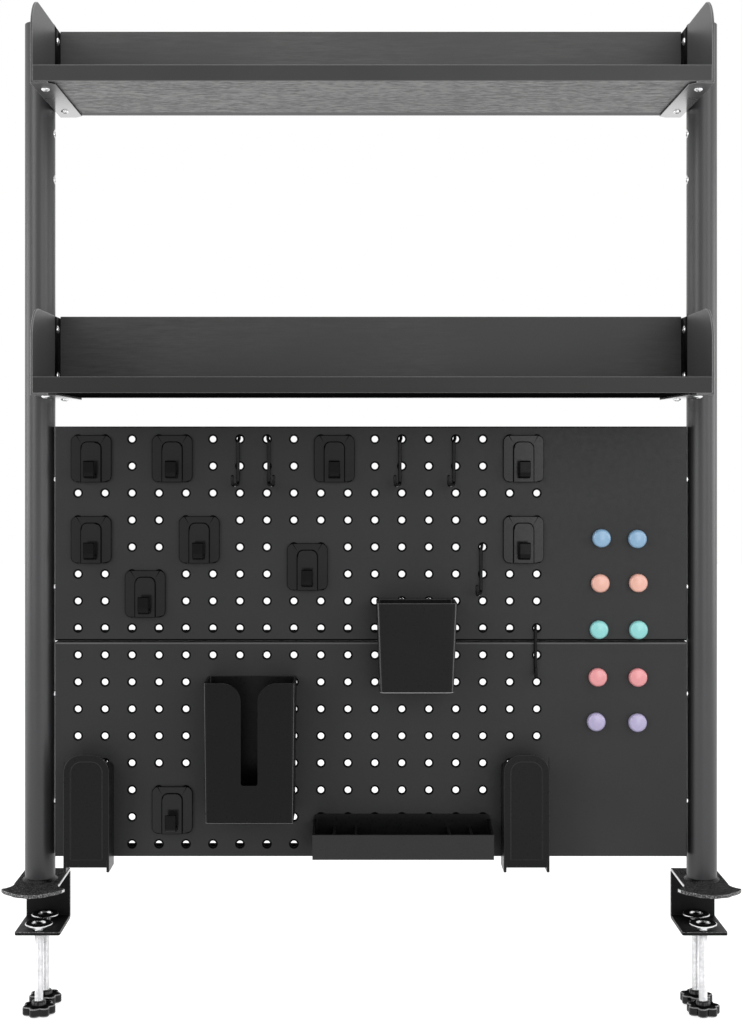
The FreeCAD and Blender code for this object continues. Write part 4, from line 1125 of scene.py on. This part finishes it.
def seen_directly(tree):
    """1 for rays from the camera, off gloss or through glass, else 0."""
    path = tree.nodes.new("ShaderNodeLightPath").outputs
    direct = math_node(tree, "MAXIMUM", path["Is Camera Ray"], path["Is Glossy Ray"])
    return math_node(tree, "MAXIMUM", direct, path["Is Transmission Ray"])


def make_world():
    """A white background that gives less light than it shows."""
    world = bpy.data.worlds.new("studio")
    world.use_nodes = True
    tree = world.node_tree
    background = tree.nodes["Background"]
    background.inputs["Color"].default_value = (1, 1, 1, 1)
    strength = ranged(tree, seen_directly(tree), WORLD_LIGHT, 1.0, 0.0, 1.0)
    tree.links.new(strength, background.inputs["Strength"])
    bpy.context.scene.world = world


def make_floor():
    """A grey floor just under the object that looks as white as the background."""
    level = cad_box[0][2] - FLOOR_GAP
    form = Form()
    form.box((-FLOOR_REACH, -FLOOR_REACH, level - FLOOR_DEPTH), (FLOOR_REACH, FLOOR_REACH, level))
    mesh = bpy.data.meshes.new("floor")
    mesh.from_pydata([tuple(vertex) for vertex in form.vertices], [], form.faces)
    floor = bpy.data.objects.new("floor", mesh)
    bpy.context.scene.collection.objects.link(floor)
    material = bpy.data.materials.new("pale_floor")
    material.use_nodes = True
    tree = material.node_tree
    tree.nodes.remove(tree.nodes["Principled BSDF"])
    diffuse = tree.nodes.new("ShaderNodeBsdfDiffuse")
    diffuse.inputs["Color"].default_value = (*grey(FLOOR_GREY), 1)
    glow = tree.nodes.new("ShaderNodeEmission")
    strength = math_node(tree, "MULTIPLY", seen_directly(tree), FLOOR_GLOW)
    tree.links.new(strength, glow.inputs["Strength"])
    both = tree.nodes.new("ShaderNodeAddShader")
    tree.links.new(diffuse.outputs["BSDF"], both.inputs[0])
    tree.links.new(glow.outputs["Emission"], both.inputs[1])
    tree.links.new(both.outputs["Shader"], tree.nodes["Material Output"].inputs["Surface"])
    mesh.materials.append(material)


def soft_light(name, place, aim, width, height, power):
    """A rectangular lamp that looks from a place at an aim."""
    lamp = bpy.data.lights.new(name, "AREA")
    lamp.shape = "RECTANGLE"
    lamp.size = width
    lamp.size_y = height
    lamp.energy = power
    holder = bpy.data.objects.new(name, lamp)
    bpy.context.scene.collection.objects.link(holder)
    holder.location = place
    holder.rotation_euler = (Vector(aim) - Vector(place)).to_track_quat("-Z", "Y").to_euler()


# The camera stands in front of the panel, level, and sees as much as a 59 mm lens does on a
# 36 mm high frame of 743 x 1024 pixels.
CAMERA_PLACE = (-0.0149, -1.563, 0.4055)
IMAGE_WIDTH, IMAGE_HEIGHT = 743, 1024
FOCAL_PIXELS = 1673
VANISHING_POINT = (355, 448)
SENSOR = 36


def make_camera():
    camera = bpy.data.cameras.new("camera")
    camera.sensor_fit = "AUTO"
    camera.sensor_width = SENSOR
    camera.lens = FOCAL_PIXELS * SENSOR / IMAGE_HEIGHT
    camera.shift_x = (IMAGE_WIDTH / 2 - VANISHING_POINT[0]) / IMAGE_HEIGHT
    camera.shift_y = (VANISHING_POINT[1] - IMAGE_HEIGHT / 2) / IMAGE_HEIGHT
    holder = bpy.data.objects.new("camera", camera)
    bpy.context.scene.collection.objects.link(holder)
    holder.location = CAMERA_PLACE
    holder.rotation_euler = (math.radians(90), 0, 0)
    bpy.context.scene.camera = holder


make_world()
make_floor()
AIM = (0, 0, 0.4)
soft_light("left_softbox", (-1.5, -1.5, 1.0), AIM, 0.9, 1.6, 17)
soft_light("right_softbox", (1.6, -1.3, 0.9), AIM, 0.9, 1.6, 12)
soft_light("front_softbox", (0.65, -1.9, 0.65), (0.65, 0, 0.65), 0.8, 1.3, 8)
soft_light("top_softbox", (0, -0.4, 2.0), AIM, 1.6, 1.2, 11)
for name, side in SIDES.items():
    soft_light(f"{name}_side_panel", (side * 2.4, 0.1, 0.5), (0, 0.1, 0.45), 1.5, 0.9, 15)
make_camera()
bpy.context.scene.view_settings.view_transform = "Standard"
